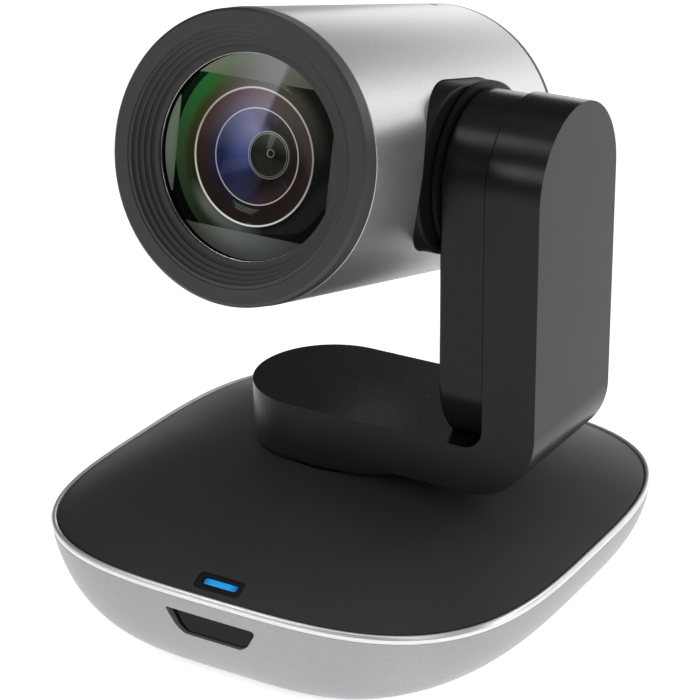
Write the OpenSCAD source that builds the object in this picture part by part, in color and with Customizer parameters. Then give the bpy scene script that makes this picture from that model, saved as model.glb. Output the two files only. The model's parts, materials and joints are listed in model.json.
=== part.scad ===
// Motorised pan-tilt-zoom camera on a domed base. All sizes in millimetres.
// The origin is on the pan axis at the level that the feet stand on. +Z is up, the lens faces -Y.

/* [Base] */
// height of the widest edge above the feet
rim_z = 24.6; // [15:0.1:40]
// half width of the lid at its edge
lid_r = 63.9; // [50:0.1:90]
// rise of the lid from its edge to the middle
dome_h = 14; // [5:0.1:30]
// half width of the bowl at its widest
bowl_r = 65.2; // [50:0.1:90]
// half width of the bowl's flat bottom, side to side
foot_x = 26.5; // [15:0.1:60]
// half depth of the bowl's flat bottom, front to back
foot_y = 52.6; // [15:0.1:60]
// squareness of the widest edge
rim_n = 3.39; // [2:0.01:6]
// squareness of the bowl half way down
mid_n = 2.97; // [2:0.01:6]
// squareness of the bottom
foot_n = 4.77; // [2:0.01:6]
// wall of the plastic shells
wall = 2; // [1:0.1:4]
// height of the rubber feet below the bottom plate
foot_h = 1.2; // [0.5:0.1:4]
// radius of the tripod thread
tripod_r = 3.175; // [2:0.005:6]

/* [Arm] */
// height of the tilt axis
axis_z = 113.5; // [80:0.1:150]
// half width of the arm, front to back
arm_hw = 19.35; // [12:0.05:30]
// outer face of the arm
arm_x = 58.3; // [45:0.1:80]
// seam between the outer shell and the inner pod
seam_x = 45; // [38:0.1:60]
// inner face of the pod
pod_x = 33.2; // [30:0.1:45]
// half width of the pod
pod_hw = 18.6; // [12:0.05:30]
// underside of the limb
limb_z0 = 42.05; // [38:0.05:60]
// top of the limb
limb_z1 = 53.45; // [45:0.05:70]
// centre of the limb's round end
limb_x = -6.35; // [-20:0.05:0]
// radius of the arm's outer bottom corner
corner_r = 17.2; // [5:0.1:25]
// radius in the inside corner
fillet_r = 5; // [1:0.1:12]
// radius of the turntable's neck in the lid
turn_r = 18.2; // [15.5:0.1:18.5]

/* [Head] */
// radius of the head tube
head_r = 32.5; // [20:0.1:40]
// front of the bezel, ahead of the tilt axis
head_front = 50.4; // [40:0.1:70]
// back of the rear cap, behind the tilt axis
head_rear = 42.7; // [30:0.1:60]
// how far the lens points up at rest, in degrees
rest_tilt = 13.1; // [-50:0.1:80]
// ridges in the bezel's funnel
ridges = 4; // [2:1:8]
// radius of the cover glass
glass_r = 23.2; // [15:0.1:28]

/* [Drives] */
// gear module
gear_m = 0.8; // [0.4:0.1:1.5]
// teeth of the pan gear
pan_teeth = 56; // [40:1:70]
// teeth of the pan pinion
pan_pin_teeth = 14; // [12:1:20]
// teeth of the tilt gear
tilt_teeth = 38; // [30:1:40]
// teeth of the tilt pinion
tilt_pin_teeth = 12; // [10:1:16]
// radial play of shafts in their bearings
play = 0.05; // [0.01:0.01:0.1]

/* [Hidden] */
$fn = 96;
loop_n = 96;
lid_wall = 1.8;
lid_n = 3.35;
lid_pow = 2.51;
bowl_top = rim_z - 1.75;
bowl_end = 0.84;
bowl_steps = 12;
lid_steps = 9;
lid_span = 0.76;
skirt_z = 39.1;
plate_z0 = foot_h;
plate_z1 = 4.1;
pan_shaft_r = 9;
pan_bush_r = 13;
pan_gear_z = 17;
pan_gear_w = 4;
pan_c = gear_m * (pan_teeth + pan_pin_teeth) / 2;
tilt_c = gear_m * (tilt_teeth + tilt_pin_teeth) / 2;
tilt_shaft_r = 6;
tilt_bush_r = 9;
tilt_gear_x = 39;
tilt_gear_w = 4;
holder_posts = [[0, 27.8], [-24.1, -13.9], [24.1, -13.9]];
arm_screw_d = 9.2;
arm_screw_r = 1.25;
pod_low_z = 67.5;
led_y = -60.6;
led_tip = 27;
led_z = lid_z(-led_y / lid_r);
port_z = 15;
saddle_w = 50.6;
saddle_h = 38.8;
saddle_round = 18;
saddle_x = 31.7;
rod_r = 1.25;
rod_d = 13;
screw_r = 1.5;
block_hw = 18.5;

// one point of a rounded square: half widths a and b, squareness n, direction t
function square_pt(a, b, n, t) =
    let (c = abs(cos(t)) / a, s = abs(sin(t)) / b, r = pow(pow(c, n) + pow(s, n), -1 / n))
    [r * cos(t), r * sin(t)];
function square_loop(a, b, n) = [for (i = [0 : loop_n - 1]) square_pt(a, b, n, 360 * i / loop_n)];
function ring_at(a, b, n, z) = [for (p = square_loop(a, b, n)) [p[0], p[1], z]];
// quadratic curve through three control values
function bend(p0, p1, p2, t) = (1 - t) * (1 - t) * p0 + 2 * t * (1 - t) * p1 + t * t * p2;
function bowl_a(foot, t) = bend(bowl_r - 0.1, foot + 0.95 * (bowl_r - foot), foot, t);
function bowl_n(t) = bend(rim_n, mid_n, foot_n, t);
function bowl_z(t) = bend(bowl_top, 0.06 * rim_z, 0, t);
function bowl_ring(t, w) =
    ring_at(bowl_a(foot_x, t) - w, bowl_a(foot_y, t) - w, bowl_n(t), bowl_z(t) + w * t * t);
function lid_z(s) = rim_z + dome_h * (1 - pow(s, lid_pow));
function lid_ring(s, drop) = ring_at(lid_r * s, lid_r * s, 2 + (lid_n - 2) * s, lid_z(s) - drop);

// closed band of rings: each ring joins the next, and the last joins the first
module ring_loft(rings) {
    n = len(rings[0]);
    m = len(rings);
    polyhedron(
        points = [for (r = rings) for (p = r) p],
        faces = [for (j = [0 : m - 1]) for (i = [0 : n - 1]) for (k = [0, 1])
            let (i2 = (i + 1) % n, j2 = (j + 1) % m,
                a = j * n + i, b = j * n + i2, c = j2 * n + i, d = j2 * n + i2)
            k == 0 ? [a, c, b] : [b, c, d]],
        convexity = 6);
}

// flat plate with a rounded-square outline
module square_plate(a, b, n, z0, z1) {
    translate([0, 0, z0]) linear_extrude(z1 - z0) polygon(square_loop(a, b, n));
}

// rounded rectangle from squares and circles
module round_rect(w, h, r) {
    square([w - 2 * r, h], center = true);
    square([w, h - 2 * r], center = true);
    for (sx = [-1, 1], sy = [-1, 1])
        translate([sx * (w / 2 - r), sy * (h / 2 - r)]) circle(r);
}

// two equal circles joined by a bar along the second axis
module slot_2d(r, y0, y1) {
    translate([0, y0]) circle(r);
    translate([0, y1]) circle(r);
    translate([-r, y0]) square([2 * r, y1 - y0]);
}

// extrusion along +X of an outline drawn in Y and Z
module along_x(x0, x1) {
    translate([x0, 0, 0]) rotate([90, 0, 90]) linear_extrude(x1 - x0) children();
}

// extrusion along Y of an outline drawn in X and Z
module along_y(y0, y1) {
    translate([0, y1, 0]) rotate([90, 0, 0]) linear_extrude(y1 - y0) children();
}

// cylinders along Y and along X
module rod_y(x, z, r, y0, y1) {
    translate([x, y0, z]) rotate([-90, 0, 0]) cylinder(h = y1 - y0, r = r);
}

module rod_x(y, z, r, x0, x1) {
    translate([x0, y, z]) rotate([0, 90, 0]) cylinder(h = x1 - x0, r = r);
}

// body of revolution about the head's axis, drawn as radius and distance along +Y
module turned() {
    rotate([-90, 0, 0]) rotate_extrude() children();
}

// level head coordinates, tilt axis at the origin, to the pose at rest
module head_pose() {
    translate([0, 0, axis_z]) rotate([-rest_tilt, 0, 0]) children();
}

// involute spur gear outline with one tooth centred on the first axis
function inv_angle(r, rb) = r <= rb ? 0 : sqrt(pow(r / rb, 2) - 1) * 180 / PI - acos(rb / r);
function polar(r, t) = [r * cos(t), r * sin(t)];
module gear_2d(teeth) {
    rp = gear_m * teeth / 2;
    rb = rp * cos(20);
    ra = rp + 0.8 * gear_m;
    rf = rp - 1.1 * gear_m;
    half = 90 / teeth - 0.05 / rp * 180 / PI;
    base_half = half + inv_angle(rp, rb);
    flank = [for (k = [0 : 3]) max(rb, rf) + (ra - max(rb, rf)) * k / 3];
    polygon([for (i = [0 : teeth - 1]) let (mid = 360 * i / teeth) each concat(
        [polar(rf, mid - base_half)],
        [for (r = flank) polar(r, mid - base_half + inv_angle(r, rb))],
        [for (k = [3 : -1 : 0]) polar(flank[k], mid + base_half - inv_angle(flank[k], rb))],
        [polar(rf, mid + base_half)])]);
}

// ---- base ----

// recess in the front wall for the receiver window, shrunk by gap
module window_2d(gap) {
    polygon([[-12.5 + gap, 19.5 - gap], [12.5 - gap, 19.5 - gap], [10 - gap, 14.7], [8 - gap, 13.2 + gap],
        [-8 + gap, 13.2 + gap], [-10 + gap, 14.7]]);
}

module rear_opening_2d(grow) {
    translate([0, port_z]) round_rect(44 + grow, 11 + grow, 2);
}

module base_bowl() {
    color([0.74, 0.74, 0.75]) difference() {
        ring_loft(concat(
            [for (i = [0 : bowl_steps]) bowl_ring(bowl_end * i / bowl_steps, 0)],
            [for (i = [bowl_steps : -2 : 0]) bowl_ring(bowl_end * i / bowl_steps, wall)]));
        along_y(-80, -50) window_2d(0);
        along_y(50, 80) rear_opening_2d(0);
    }
}

module rim_trim_ring() {
    out = bowl_r - lid_r;
    color([0.86, 0.86, 0.87]) ring_loft([
        ring_at(lid_r + 0.25, lid_r + 0.25, rim_n, rim_z + 0.05),
        ring_at(lid_r + 0.7, lid_r + 0.7, rim_n, rim_z + 0.35),
        ring_at(lid_r + out - 0.1, lid_r + out - 0.1, rim_n, rim_z + 0.05),
        ring_at(bowl_r + 0.1, bowl_r + 0.1, rim_n, rim_z - 0.6),
        ring_at(bowl_r, bowl_r, rim_n, rim_z - 1.3),
        ring_at(bowl_r - 0.15, bowl_r - 0.15, rim_n, bowl_top + 0.01),
        ring_at(bowl_r - 1.8, bowl_r - 1.8, rim_n, bowl_top + 0.01),
        ring_at(lid_r - 0.1, lid_r - 0.1, rim_n, rim_z - 1.2)]);
}

module base_top_cover() {
    color([0.13, 0.13, 0.14]) difference() {
        ring_loft(concat(
            [for (i = [0 : lid_steps]) lid_ring(1 - lid_span * i / lid_steps, 0)],
            [for (i = [lid_steps : -1 : 1]) lid_ring((1 - lid_span * i / lid_steps) * 0.985, lid_wall)],
            [ring_at(lid_r - 1.4, lid_r - 1.4, lid_n, rim_z - 0.9)]));
        cylinder(h = 60, r = turn_r + 0.35);
        led_pose() cube([12.4, 4.6, 8], center = true);
    }
}

module led_pose() {
    translate([0, led_y, led_z]) rotate([led_tip, 0, 0]) children();
}

module led_bezel() {
    color([0.05, 0.05, 0.05]) led_pose() difference() {
        translate([-6.1, -2.2, -2.6]) cube([12.2, 4.4, 2.4]);
        translate([-4.6, -0.95, -3]) cube([9.2, 1.9, 4]);
    }
}

module led_light_bar() {
    color([0.12, 0.5, 0.8]) led_pose() translate([-4.5, -0.85, -6.5]) cube([9, 1.7, 6]);
}

module front_board() {
    color([0.1, 0.35, 0.2]) {
        translate([-13, -54.8, plate_z1]) cube([26, 1.2, 18.5]);
        translate([-2.5, -56.3, 20.4]) cube([5, 1.5, 2]);
        translate([5.5, -56.3, 9]) cube([5, 1.5, 3]);
    }
}

module ir_window() {
    color([0.06, 0.05, 0.06]) {
        along_y(-63.2, -61.4) window_2d(0.08);
        along_y(-61.4, -60.4) translate([0, 16.3]) round_rect(28, 9.4, 1.5);
    }
}

module ir_receiver() {
    color([0.16, 0.14, 0.14]) {
        translate([-3, -57.8, 12.6]) cube([6, 3, 7.4]);
        rod_y(0, 16.6, 2.2, -58, -57.8);
        translate([0, -58, 16.6]) intersection() {
            sphere(2.2);
            translate([-3, -3, -3]) cube([6, 3, 6]);
        }
    }
}

module base_plate() {
    color([0.12, 0.12, 0.13]) difference() {
        union() {
            square_plate(35.1, 53.9, 4.2, plate_z0, 2.9);
            square_plate(37.7, 54.7, 4.1, 2.9, plate_z1);
            for (x = [-26, 26], y = [37, 50])
                translate([x, y, plate_z1]) cylinder(h = 3.9, r = 2.2);
        }
        cylinder(h = 10, r = 6);
        for (p = holder_posts) translate([p[0], p[1], 0]) {
            cylinder(h = 2.7, r = 3);
            cylinder(h = 6, r = 1.3);
        }
    }
}

module rubber_feet() {
    color([0.08, 0.08, 0.08]) for (x = [-23, 23], y = [-40, 40])
        translate([x, y, 0]) {
            cylinder(h = 0.4, r1 = 5.6, r2 = 6);
            translate([0, 0, 0.4]) cylinder(h = foot_h - 0.4, r = 6);
        }
}

module tripod_insert() {
    color([0.78, 0.62, 0.3]) difference() {
        union() {
            translate([0, 0, plate_z0]) cylinder(h = 8.3, r = 6);
            translate([0, 0, plate_z1]) cylinder(h = 1.5, r = 7.5);
        }
        translate([0, 0, 0]) cylinder(h = 8.5, r = tripod_r);
    }
}

module ballast_plate() {
    color([0.45, 0.46, 0.48]) difference() {
        square_plate(32.5, 51, 4.2, plate_z1, plate_z1 + 3);
        translate([0, 0, 2]) cylinder(h = 8, r = 8.5);
        translate([0, -pan_c, 2]) cylinder(h = 8, r = 13.2);
        for (p = holder_posts) translate([p[0], p[1], 2]) cylinder(h = 8, r = 4.2);
        for (x = [-26, 26], y = [37, 50]) translate([x, y, 2]) cylinder(h = 8, r = 2.9);
        for (x = [-17, 17]) translate([x, -pan_c, 2]) cylinder(h = 8, r = 3.6);
    }
}

module main_board() {
    color([0.1, 0.35, 0.2]) difference() {
        translate([-34, 33, 8]) cube([68, 22.4, 1.6]);
        for (x = [-26, 26], y = [37, 50]) translate([x, y, 7]) cylinder(h = 4, r = 1.3);
    }
}

module board_chips() {
    color([0.1, 0.1, 0.11]) {
        translate([14.5, 36, 9.6]) cube([9, 9, 1.4]);
        translate([-3, 35, 9.6]) cube([7, 7, 1.2]);
        translate([-23, 42, 9.6]) cube([6, 8, 1.6]);
        for (x = [-32, -24.5]) translate([x + 2, 37 - (x + 32) * 0.2, 9.6]) cylinder(h = 7, r = 2.5);
        for (i = [0 : 4]) translate([5.5 + i * 1.8, 36, 9.6]) cube([1, 1.8, 0.8]);
    }
}

module power_jack() {
    color([0.08, 0.08, 0.09]) {
        difference() {
            union() {
                translate([-14.5, 45.5, 9.6]) cube([10, 12.4, 10.6]);
                rod_y(-9.5, port_z, 4.2, 57.9, 59.8);
            }
            rod_y(-9.5, port_z, 3.15, 49, 61);
        }
        rod_y(-9.5, port_z, 1.05, 48.5, 58.6);
    }
}

module usb_port() {
    color([0.75, 0.75, 0.77]) {
        difference() {
            translate([3.2, 50, 9.6]) cube([9.6, 9.8, 4]);
            translate([3.7, 52, 10.2]) cube([8.6, 9, 2.8]);
        }
        translate([4.8, 51.5, 11.2]) cube([6.4, 7.3, 0.8]);
    }
}

module rear_port_frame() {
    color([0.1, 0.1, 0.1]) difference() {
        union() {
            along_y(58.2, 59.4) translate([0, port_z]) round_rect(49, 13.2, 2);
            along_y(59.4, 62.2) difference() {
                rear_opening_2d(-0.2);
                rear_opening_2d(-2.4);
            }
        }
        rod_y(-9.5, port_z, 4.2, 57, 61);
        translate([3.2, 57, 9.6]) cube([9.6, 4, 4]);
        along_y(57, 61) translate([17.2, port_z]) round_rect(3, 7, 1.2);
    }
}

module pan_motor() {
    color([0.6, 0.6, 0.62]) difference() {
        translate([0, -pan_c, plate_z1]) {
            cylinder(h = 10.4, r = 12.5);
            translate([0, 0, 10.4]) cylinder(h = 0.9, r = 3.5);
        }
        translate([0, -pan_c, 8]) cylinder(h = 10, r = 1.5 + play);
    }
}

module pan_motor_bracket() {
    z0 = plate_z1 + 10.4;
    color([0.66, 0.67, 0.68]) difference() {
        union() {
            translate([0, -pan_c, z0]) linear_extrude(1.2) round_rect(41, 14, 4);
            for (x = [-17, 17]) translate([x, -pan_c, plate_z1]) cylinder(h = 10.4, r = 3);
        }
        translate([0, -pan_c, z0 - 1]) cylinder(h = 4, r = 3.6);
    }
}

module pan_bearing_holder() {
    color([0.3, 0.31, 0.32]) difference() {
        union() {
            translate([0, 0, 29]) cylinder(h = 3, r = 31);
            for (p = holder_posts) translate([p[0], p[1], plate_z1]) cylinder(h = 25, r = 3.4);
        }
        cylinder(h = 40, r = pan_bush_r);
        for (p = holder_posts) translate([p[0], p[1], 0]) cylinder(h = 12, r = 1.2);
    }
}

module pan_bushing() {
    color([0.8, 0.76, 0.66]) difference() {
        union() {
            translate([0, 0, 25]) cylinder(h = 7, r = pan_bush_r);
            translate([0, 0, 32]) cylinder(h = 1.2, r = 15);
        }
        cylinder(h = 40, r = pan_shaft_r + play);
    }
}

module pan_home_sensor() {
    color([0.1, 0.1, 0.12]) translate([-18.5, 1, plate_z1 + 3]) {
        cube([6, 5, 8]);
        translate([1, 0.5, 8]) cube([1.5, 4, 0.8]);
        translate([3.5, 0.5, 8]) cube([1.5, 4, 0.8]);
    }
}

module base_screws() {
    color([0.6, 0.6, 0.62]) for (p = holder_posts) translate([p[0], p[1], 0]) difference() {
        union() {
            translate([0, 0, 1.3]) cylinder(h = 1.4, r = 2.6);
            translate([0, 0, 2.7]) cylinder(h = 9, r = 1.2);
        }
        translate([0, 0, 1]) linear_extrude(0.9) {
            square([2.6, 0.7], center = true);
            square([0.7, 2.6], center = true);
        }
    }
}

module pan_pinion() {
    color([0.8, 0.78, 0.72]) translate([0, -pan_c, 0]) {
        translate([0, 0, pan_gear_z - 0.4]) linear_extrude(pan_gear_w + 0.8)
            rotate(90 + 180 / pan_pin_teeth) gear_2d(pan_pin_teeth);
        translate([0, 0, 8.4]) cylinder(h = 14, r = 1.5);
    }
}

// ---- arm ----

module pan_gear() {
    color([0.9, 0.9, 0.86]) translate([0, 0, pan_gear_z]) difference() {
        union() {
            linear_extrude(pan_gear_w) rotate(-90) gear_2d(pan_teeth);
            translate([0, 0, pan_gear_w]) cylinder(h = 2.5, r = 12);
        }
        translate([0, 0, -1]) cylinder(h = 10, r = pan_shaft_r);
        for (i = [0 : 5]) rotate(30 + 60 * i) translate([15.4, 0, -1]) cylinder(h = 8, r = 2.6);
    }
}

module pan_shaft() {
    color([0.72, 0.73, 0.75]) difference() {
        union() {
            translate([0, 0, 14.6]) cylinder(h = 30.9, r = pan_shaft_r);
            translate([0, 0, 33.5]) cylinder(h = 1.5, r = 12);
        }
        cylinder(h = 60, r = 6.5);
    }
}

// the four screws that hold the arm on the turntable
module arm_screw_holes(z0, z1) {
    for (sx = [-1, 1], sy = [-1, 1])
        translate([sx * arm_screw_d, sy * arm_screw_d, z0]) cylinder(h = z1 - z0, r = arm_screw_r);
}

module turntable() {
    color([0.07, 0.07, 0.08]) difference() {
        union() {
            translate([0, 0, 35]) cylinder(h = skirt_z - 35, r = turn_r);
            translate([0, 0, skirt_z]) linear_extrude(limb_z0 - skirt_z) rotate(-90)
                slot_2d(18.9, limb_x, -limb_x);
        }
        cylinder(h = 60, r = pan_shaft_r);
        arm_screw_holes(37.6, 50);
    }
}

// side view of the arm, inset by w
module arm_side_2d(w) {
    x0 = limb_x - arm_hw + w;
    difference() {
        union() {
            translate([x0, limb_z0 + w]) square([arm_x - w - x0, limb_z1 - limb_z0 - 2 * w]);
            translate([seam_x + w, limb_z0 + w]) square([arm_x - seam_x - 2 * w, 100]);
            translate([seam_x - fillet_r, limb_z1 - w]) square([fillet_r + w, fillet_r + w]);
        }
        translate([seam_x - fillet_r, limb_z1 + fillet_r]) circle(fillet_r + w);
        difference() {
            translate([arm_x - corner_r, limb_z0 - 1]) square([corner_r + 1, corner_r + 1]);
            translate([arm_x - corner_r, limb_z0 + corner_r]) circle(corner_r - w);
        }
    }
}

// the arm's outer form, inset by w
module arm_form(w) {
    r = arm_hw - w;
    intersection() {
        along_y(-r, r) arm_side_2d(w);
        along_x(-40, 70) union() {
            translate([0, axis_z]) circle(r);
            translate([-r, 0]) square([2 * r, axis_z]);
        }
        linear_extrude(200) union() {
            translate([limb_x, 0]) circle(r);
            translate([limb_x, -r]) square([100, 2 * r]);
        }
    }
}

module pod_form(r, x0, x1, z0) {
    intersection() {
        along_x(x0, x1) slot_2d(r, pod_low_z, axis_z);
        translate([x0 - 1, -40, z0]) cube([x1 - x0 + 2, 80, 100]);
    }
}

module arm_shell() {
    color([0.05, 0.05, 0.06]) difference() {
        arm_form(0);
        arm_form(wall);
        pod_form(pod_hw, pod_x, seam_x, limb_z1);
        pod_form(pod_hw - wall, seam_x - 1, seam_x + wall + 0.3, 56);
        translate([34.9, -8.8, limb_z1 - wall - 0.3]) cube([9.6, 17.6, 4]);
        translate([0, 0, limb_z0 - 1]) cylinder(h = wall + 2, r = pan_shaft_r);
        arm_screw_holes(limb_z0 - 1, limb_z0 + wall + 1);
    }
}

module arm_inner_pod() {
    color([0.05, 0.05, 0.06]) difference() {
        pod_form(pod_hw, pod_x, seam_x, limb_z1);
        pod_form(pod_hw - wall, pod_x + wall, seam_x + 1, limb_z1 - 1);
        rod_x(0, axis_z, tilt_bush_r, pod_x - 1, pod_x + wall + 1);
    }
}

module arm_frame() {
    color([0.62, 0.63, 0.65]) difference() {
        union() {
            translate([limb_x, -14, limb_z0 + wall]) cube([43.15, 28, 1.5]);
            along_x(35.3, 36.8) slot_2d(15.8, pod_low_z, axis_z);
            translate([35.3, -8.4, limb_z0 + wall]) cube([1.5, 16.8, 16]);
            translate([43.9, -14, 61]) cube([1, 28, 43]);
            for (y = [-11.5, 11.5], z = [67, 80]) rod_x(y, z, 2, 36.8, 43.9);
            for (y = [-10, 10], z = [64, 78]) rod_x(y, z, 1.5, 44.9, 47);
        }
        cylinder(h = 60, r = pan_shaft_r);
        arm_screw_holes(limb_z0, 50);
        translate([34, -6, 46.6]) cube([4, 12, 1.6]);
        rod_x(0, axis_z, tilt_bush_r, 34, 38);
        rod_x(0, axis_z - tilt_c, 6.2, 43, 46);
    }
}

module tilt_hub_ring() {
    color([0.06, 0.06, 0.07]) translate([32, 0, axis_z]) rotate([0, 90, 0]) difference() {
        union() {
            cylinder(h = 0.4, r1 = 19.8, r2 = 20.2);
            translate([0, 0, 0.4]) cylinder(h = pod_x - 32.4, r = 20.2);
        }
        translate([0, 0, -1]) cylinder(h = 4, r = tilt_bush_r);
    }
}

module tilt_bushing() {
    color([0.8, 0.76, 0.66]) difference() {
        union() {
            rod_x(0, axis_z, tilt_bush_r, 32.4, 36.8);
            rod_x(0, axis_z, 11, 36.8, 38);
        }
        rod_x(0, axis_z, tilt_shaft_r + play, 31, 39);
    }
}

module tilt_motor() {
    color([0.6, 0.6, 0.62]) difference() {
        union() {
            rod_x(0, axis_z - tilt_c, 10, 44.9, 55.5);
            rod_x(0, axis_z - tilt_c, 2.6, 44.2, 44.9);
        }
        rod_x(0, axis_z - tilt_c, 1 + play, 43, 50.2);
    }
}

module arm_board() {
    color([0.1, 0.35, 0.2]) {
        translate([47, -12, 61.5]) cube([1.2, 24, 19]);
        translate([48.2, -6, 66]) cube([1.3, 7, 7]);
        translate([48.2, 3, 74]) cube([2.4, 6, 4]);
    }
}

module arm_ribbon() {
    color([0.85, 0.85, 0.8]) {
        translate([-5, -5, 47.2]) cube([52.8, 10, 0.4]);
        translate([47.4, -5, 47.2]) cube([0.4, 10, 14.3]);
    }
}

module arm_screws() {
    color([0.6, 0.6, 0.62]) {
        arm_screw_holes(37.6, limb_z0 + wall + 1.5);
        for (sx = [-1, 1], sy = [-1, 1])
            translate([sx * arm_screw_d, sy * arm_screw_d, limb_z0 + wall + 1.5])
                cylinder(h = 1.4, r = 2.4);
    }
}

module tilt_pinion() {
    color([0.8, 0.78, 0.72]) {
        translate([0, 0, axis_z - tilt_c]) along_x(tilt_gear_x - 0.3, tilt_gear_x + tilt_gear_w + 0.3)
            rotate(90 + 180 / tilt_pin_teeth) gear_2d(tilt_pin_teeth);
        rod_x(0, axis_z - tilt_c, 1, 38.2, 50);
    }
}

// ---- head ----

module saddle_2d(grow) {
    round_rect(saddle_w + grow, saddle_h + grow, saddle_round);
}

module head_tube() {
    color([0.66, 0.66, 0.67]) head_pose() difference() {
        rod_y(0, 0, head_r, 4.3 - head_front, head_rear - 2.5);
        rod_y(0, 0, head_r - 1.8, -60, 60);
        along_x(15, 40) saddle_2d(0.2);
        translate([0, 32, 25]) cylinder(h = 10, r = 1.2);
    }
}

module tilt_saddle() {
    color([0.07, 0.07, 0.08]) head_pose() difference() {
        along_x(21, saddle_x) saddle_2d(0);
        rod_x(0, 0, tilt_shaft_r, 20, 40);
        along_x(20, 27) difference() {
            round_rect(saddle_w - 6, saddle_h - 6, saddle_round - 3);
            circle(9);
            translate([-19, 0]) square([9, 26], center = true);
            translate([11, 0]) square([6, 26], center = true);
        }
    }
}

module tilt_shaft() {
    color([0.72, 0.73, 0.75]) translate([0, 0, axis_z]) difference() {
        union() {
            rod_x(0, 0, tilt_shaft_r, 19.7, 43.6);
            rod_x(0, 0, 8.5, 19.7, 21);
        }
        rod_x(0, 0, 4, 19, 45);
    }
}

module tilt_gear() {
    color([0.9, 0.9, 0.86]) translate([0, 0, axis_z]) difference() {
        along_x(tilt_gear_x, tilt_gear_x + tilt_gear_w) rotate(-90) gear_2d(tilt_teeth);
        rod_x(0, 0, tilt_shaft_r, 35, 45);
        for (i = [0 : 4]) rotate([72 * i + 36, 0, 0]) rod_x(10.2, 0, 2.2, 35, 45);
    }
}

module front_bezel() {
    f = -head_front;
    step = 0.95;
    rise = 1.05;
    funnel = [for (i = [0 : ridges]) let (r = 24.5 + step * i)
        each [[r, f + 4.2 - rise * i], [r, max(f, f + 3.15 - rise * i)]]];
    color([0.2, 0.2, 0.21]) head_pose() turned() polygon(concat(
        [[head_r - 0.9, f], [head_r - 0.2, f + 0.7], [head_r - 0.05, f + 4.3], [head_r - 1.85, f + 4.3],
            [head_r - 1.85, f + 8.4], [29.2, f + 8.4], [29.2, f + 6.4], [glass_r, f + 6.4],
            [glass_r, f + 5.05], [glass_r - 0.4, f + 5.05], [glass_r - 0.4, f + 4.2]],
        [for (i = [0 : 2 * ridges - 1]) funnel[i]],
        [[24.5 + step * ridges, f + 0.35], [24.5 + step * ridges, f]]));
}

module cover_glass() {
    color([0.5, 0.55, 0.6, 0.4]) head_pose() rod_y(0, 0, glass_r, 5.05 - head_front, 6.25 - head_front);
}

module lens_barrel() {
    color([0.1, 0.1, 0.11]) head_pose() turned() union() {
        translate([22.6, -43.9]) square([1.5, 16.9]);
        translate([14.6, -42.6]) square([8.2, 1.2]);
        translate([14.6, -43.6]) square([1.2, 7.6]);
        polygon([[14.6, -38.6], [15.2, -37.4], [6, -35.8], [5.2, -36.9]]);
        translate([12, -28.4]) square([11, 1.4]);
    }
}

// half outline of a ball surface: bulge -1 faces the front, 1 faces the back
function ball_arc(r_ball, mid, bulge, r_edge) =
    [for (i = [0 : 8]) let (r = r_edge * i / 8) [r, mid + bulge * sqrt(r_ball * r_ball - r * r)]];
function flip(list) = [for (i = [len(list) - 1 : -1 : 0]) list[i]];

module front_lens() {
    color([0.3, 0.35, 0.6, 0.5]) head_pose() turned() polygon(concat(
        ball_arc(35.2, -8.2, -1, 14.6), [[14.6, -39.6], [0, -39.6]]));
}

module block_frame() {
    h = block_hw;
    color([0.16, 0.16, 0.17]) head_pose() difference() {
        union() {
            along_y(-27, -25) round_rect(2 * h, 2 * h, 3);
            along_y(12, 14) round_rect(2 * h, 2 * h, 3);
            for (x = [-h, h - 3], z = [-h, h - 3]) translate([x, -25, z]) cube([3, 37, 3]);
            for (y = [-23.5, 9]) translate([h - 1.5, y, -16]) cube([4, 5, 32]);
        }
        rod_y(0, 0, 12, -28, -24);
        rod_y(0, 0, 5.5, 11, 15);
        for (s = [-1, 1]) rod_y(s * rod_d, -s * rod_d, rod_r, -28, 15);
        rod_y(rod_d, rod_d, screw_r + play, -28, 11.5);
        rod_y(rod_d, rod_d, 1 + play, 11, 15);
        rod_y(-rod_d, -rod_d, 1 + play, 11, 15);
    }
}

module guide_rods() {
    color([0.8, 0.8, 0.82]) head_pose() for (s = [-1, 1]) rod_y(s * rod_d, -s * rod_d, rod_r, -27, 14);
}

module image_sensor() {
    color([0.18, 0.16, 0.24]) head_pose() translate([-5.5, 14, -4.5]) cube([11, 1.5, 9]);
}

module sensor_board() {
    color([0.1, 0.3, 0.2]) head_pose() {
        translate([-7.5, 15.5, -7.5]) cube([15, 1.2, 15]);
        translate([-5, 16.7, 2]) cube([10, 2, 3]);
    }
}

module head_board() {
    color([0.1, 0.3, 0.2]) head_pose() {
        rod_y(0, 0, 27.5, 30, 31.6);
        translate([-8, 28.6, -8]) cube([12, 1.4, 12]);
        translate([7, 28.4, -4]) cube([8, 1.6, 7]);
        translate([-5, 27.4, 8]) cube([10, 2.6, 4]);
    }
}

// small can motor with its gap for the drive shaft
module block_motor(x, z, len) {
    difference() {
        rod_y(x, z, 5, 14, 14 + len);
        rod_y(x, z, 1 + play, 13, 20.2);
    }
}

module zoom_motor() {
    color([0.66, 0.66, 0.68]) head_pose() block_motor(rod_d, rod_d, 12);
}

module focus_motor() {
    color([0.66, 0.66, 0.68]) head_pose() block_motor(-rod_d, -rod_d, 10);
}

module rear_cap() {
    b = head_rear;
    color([0.06, 0.06, 0.07]) head_pose() difference() {
        union() {
            turned() polygon([[0, b - 2.5], [head_r, b - 2.5], [head_r, b - 1], [head_r - 1, b], [0, b]]);
            turned() translate([28.8, b - 8]) square([1.85, 5.6]);
            for (i = [0 : 2]) rotate([0, 120 * i + 90, 0]) rod_y(22, 0, 2.6, 31.6, b - 2);
        }
        for (i = [0 : 2]) rotate([0, 120 * i + 90, 0]) rod_y(22, 0, 2.3, b - 1.6, b + 1);
        for (i = [-5 : 5]) translate([i * 3 - 0.6, b - 4, -10]) cube([1.2, 5, 20]);
    }
}

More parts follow.
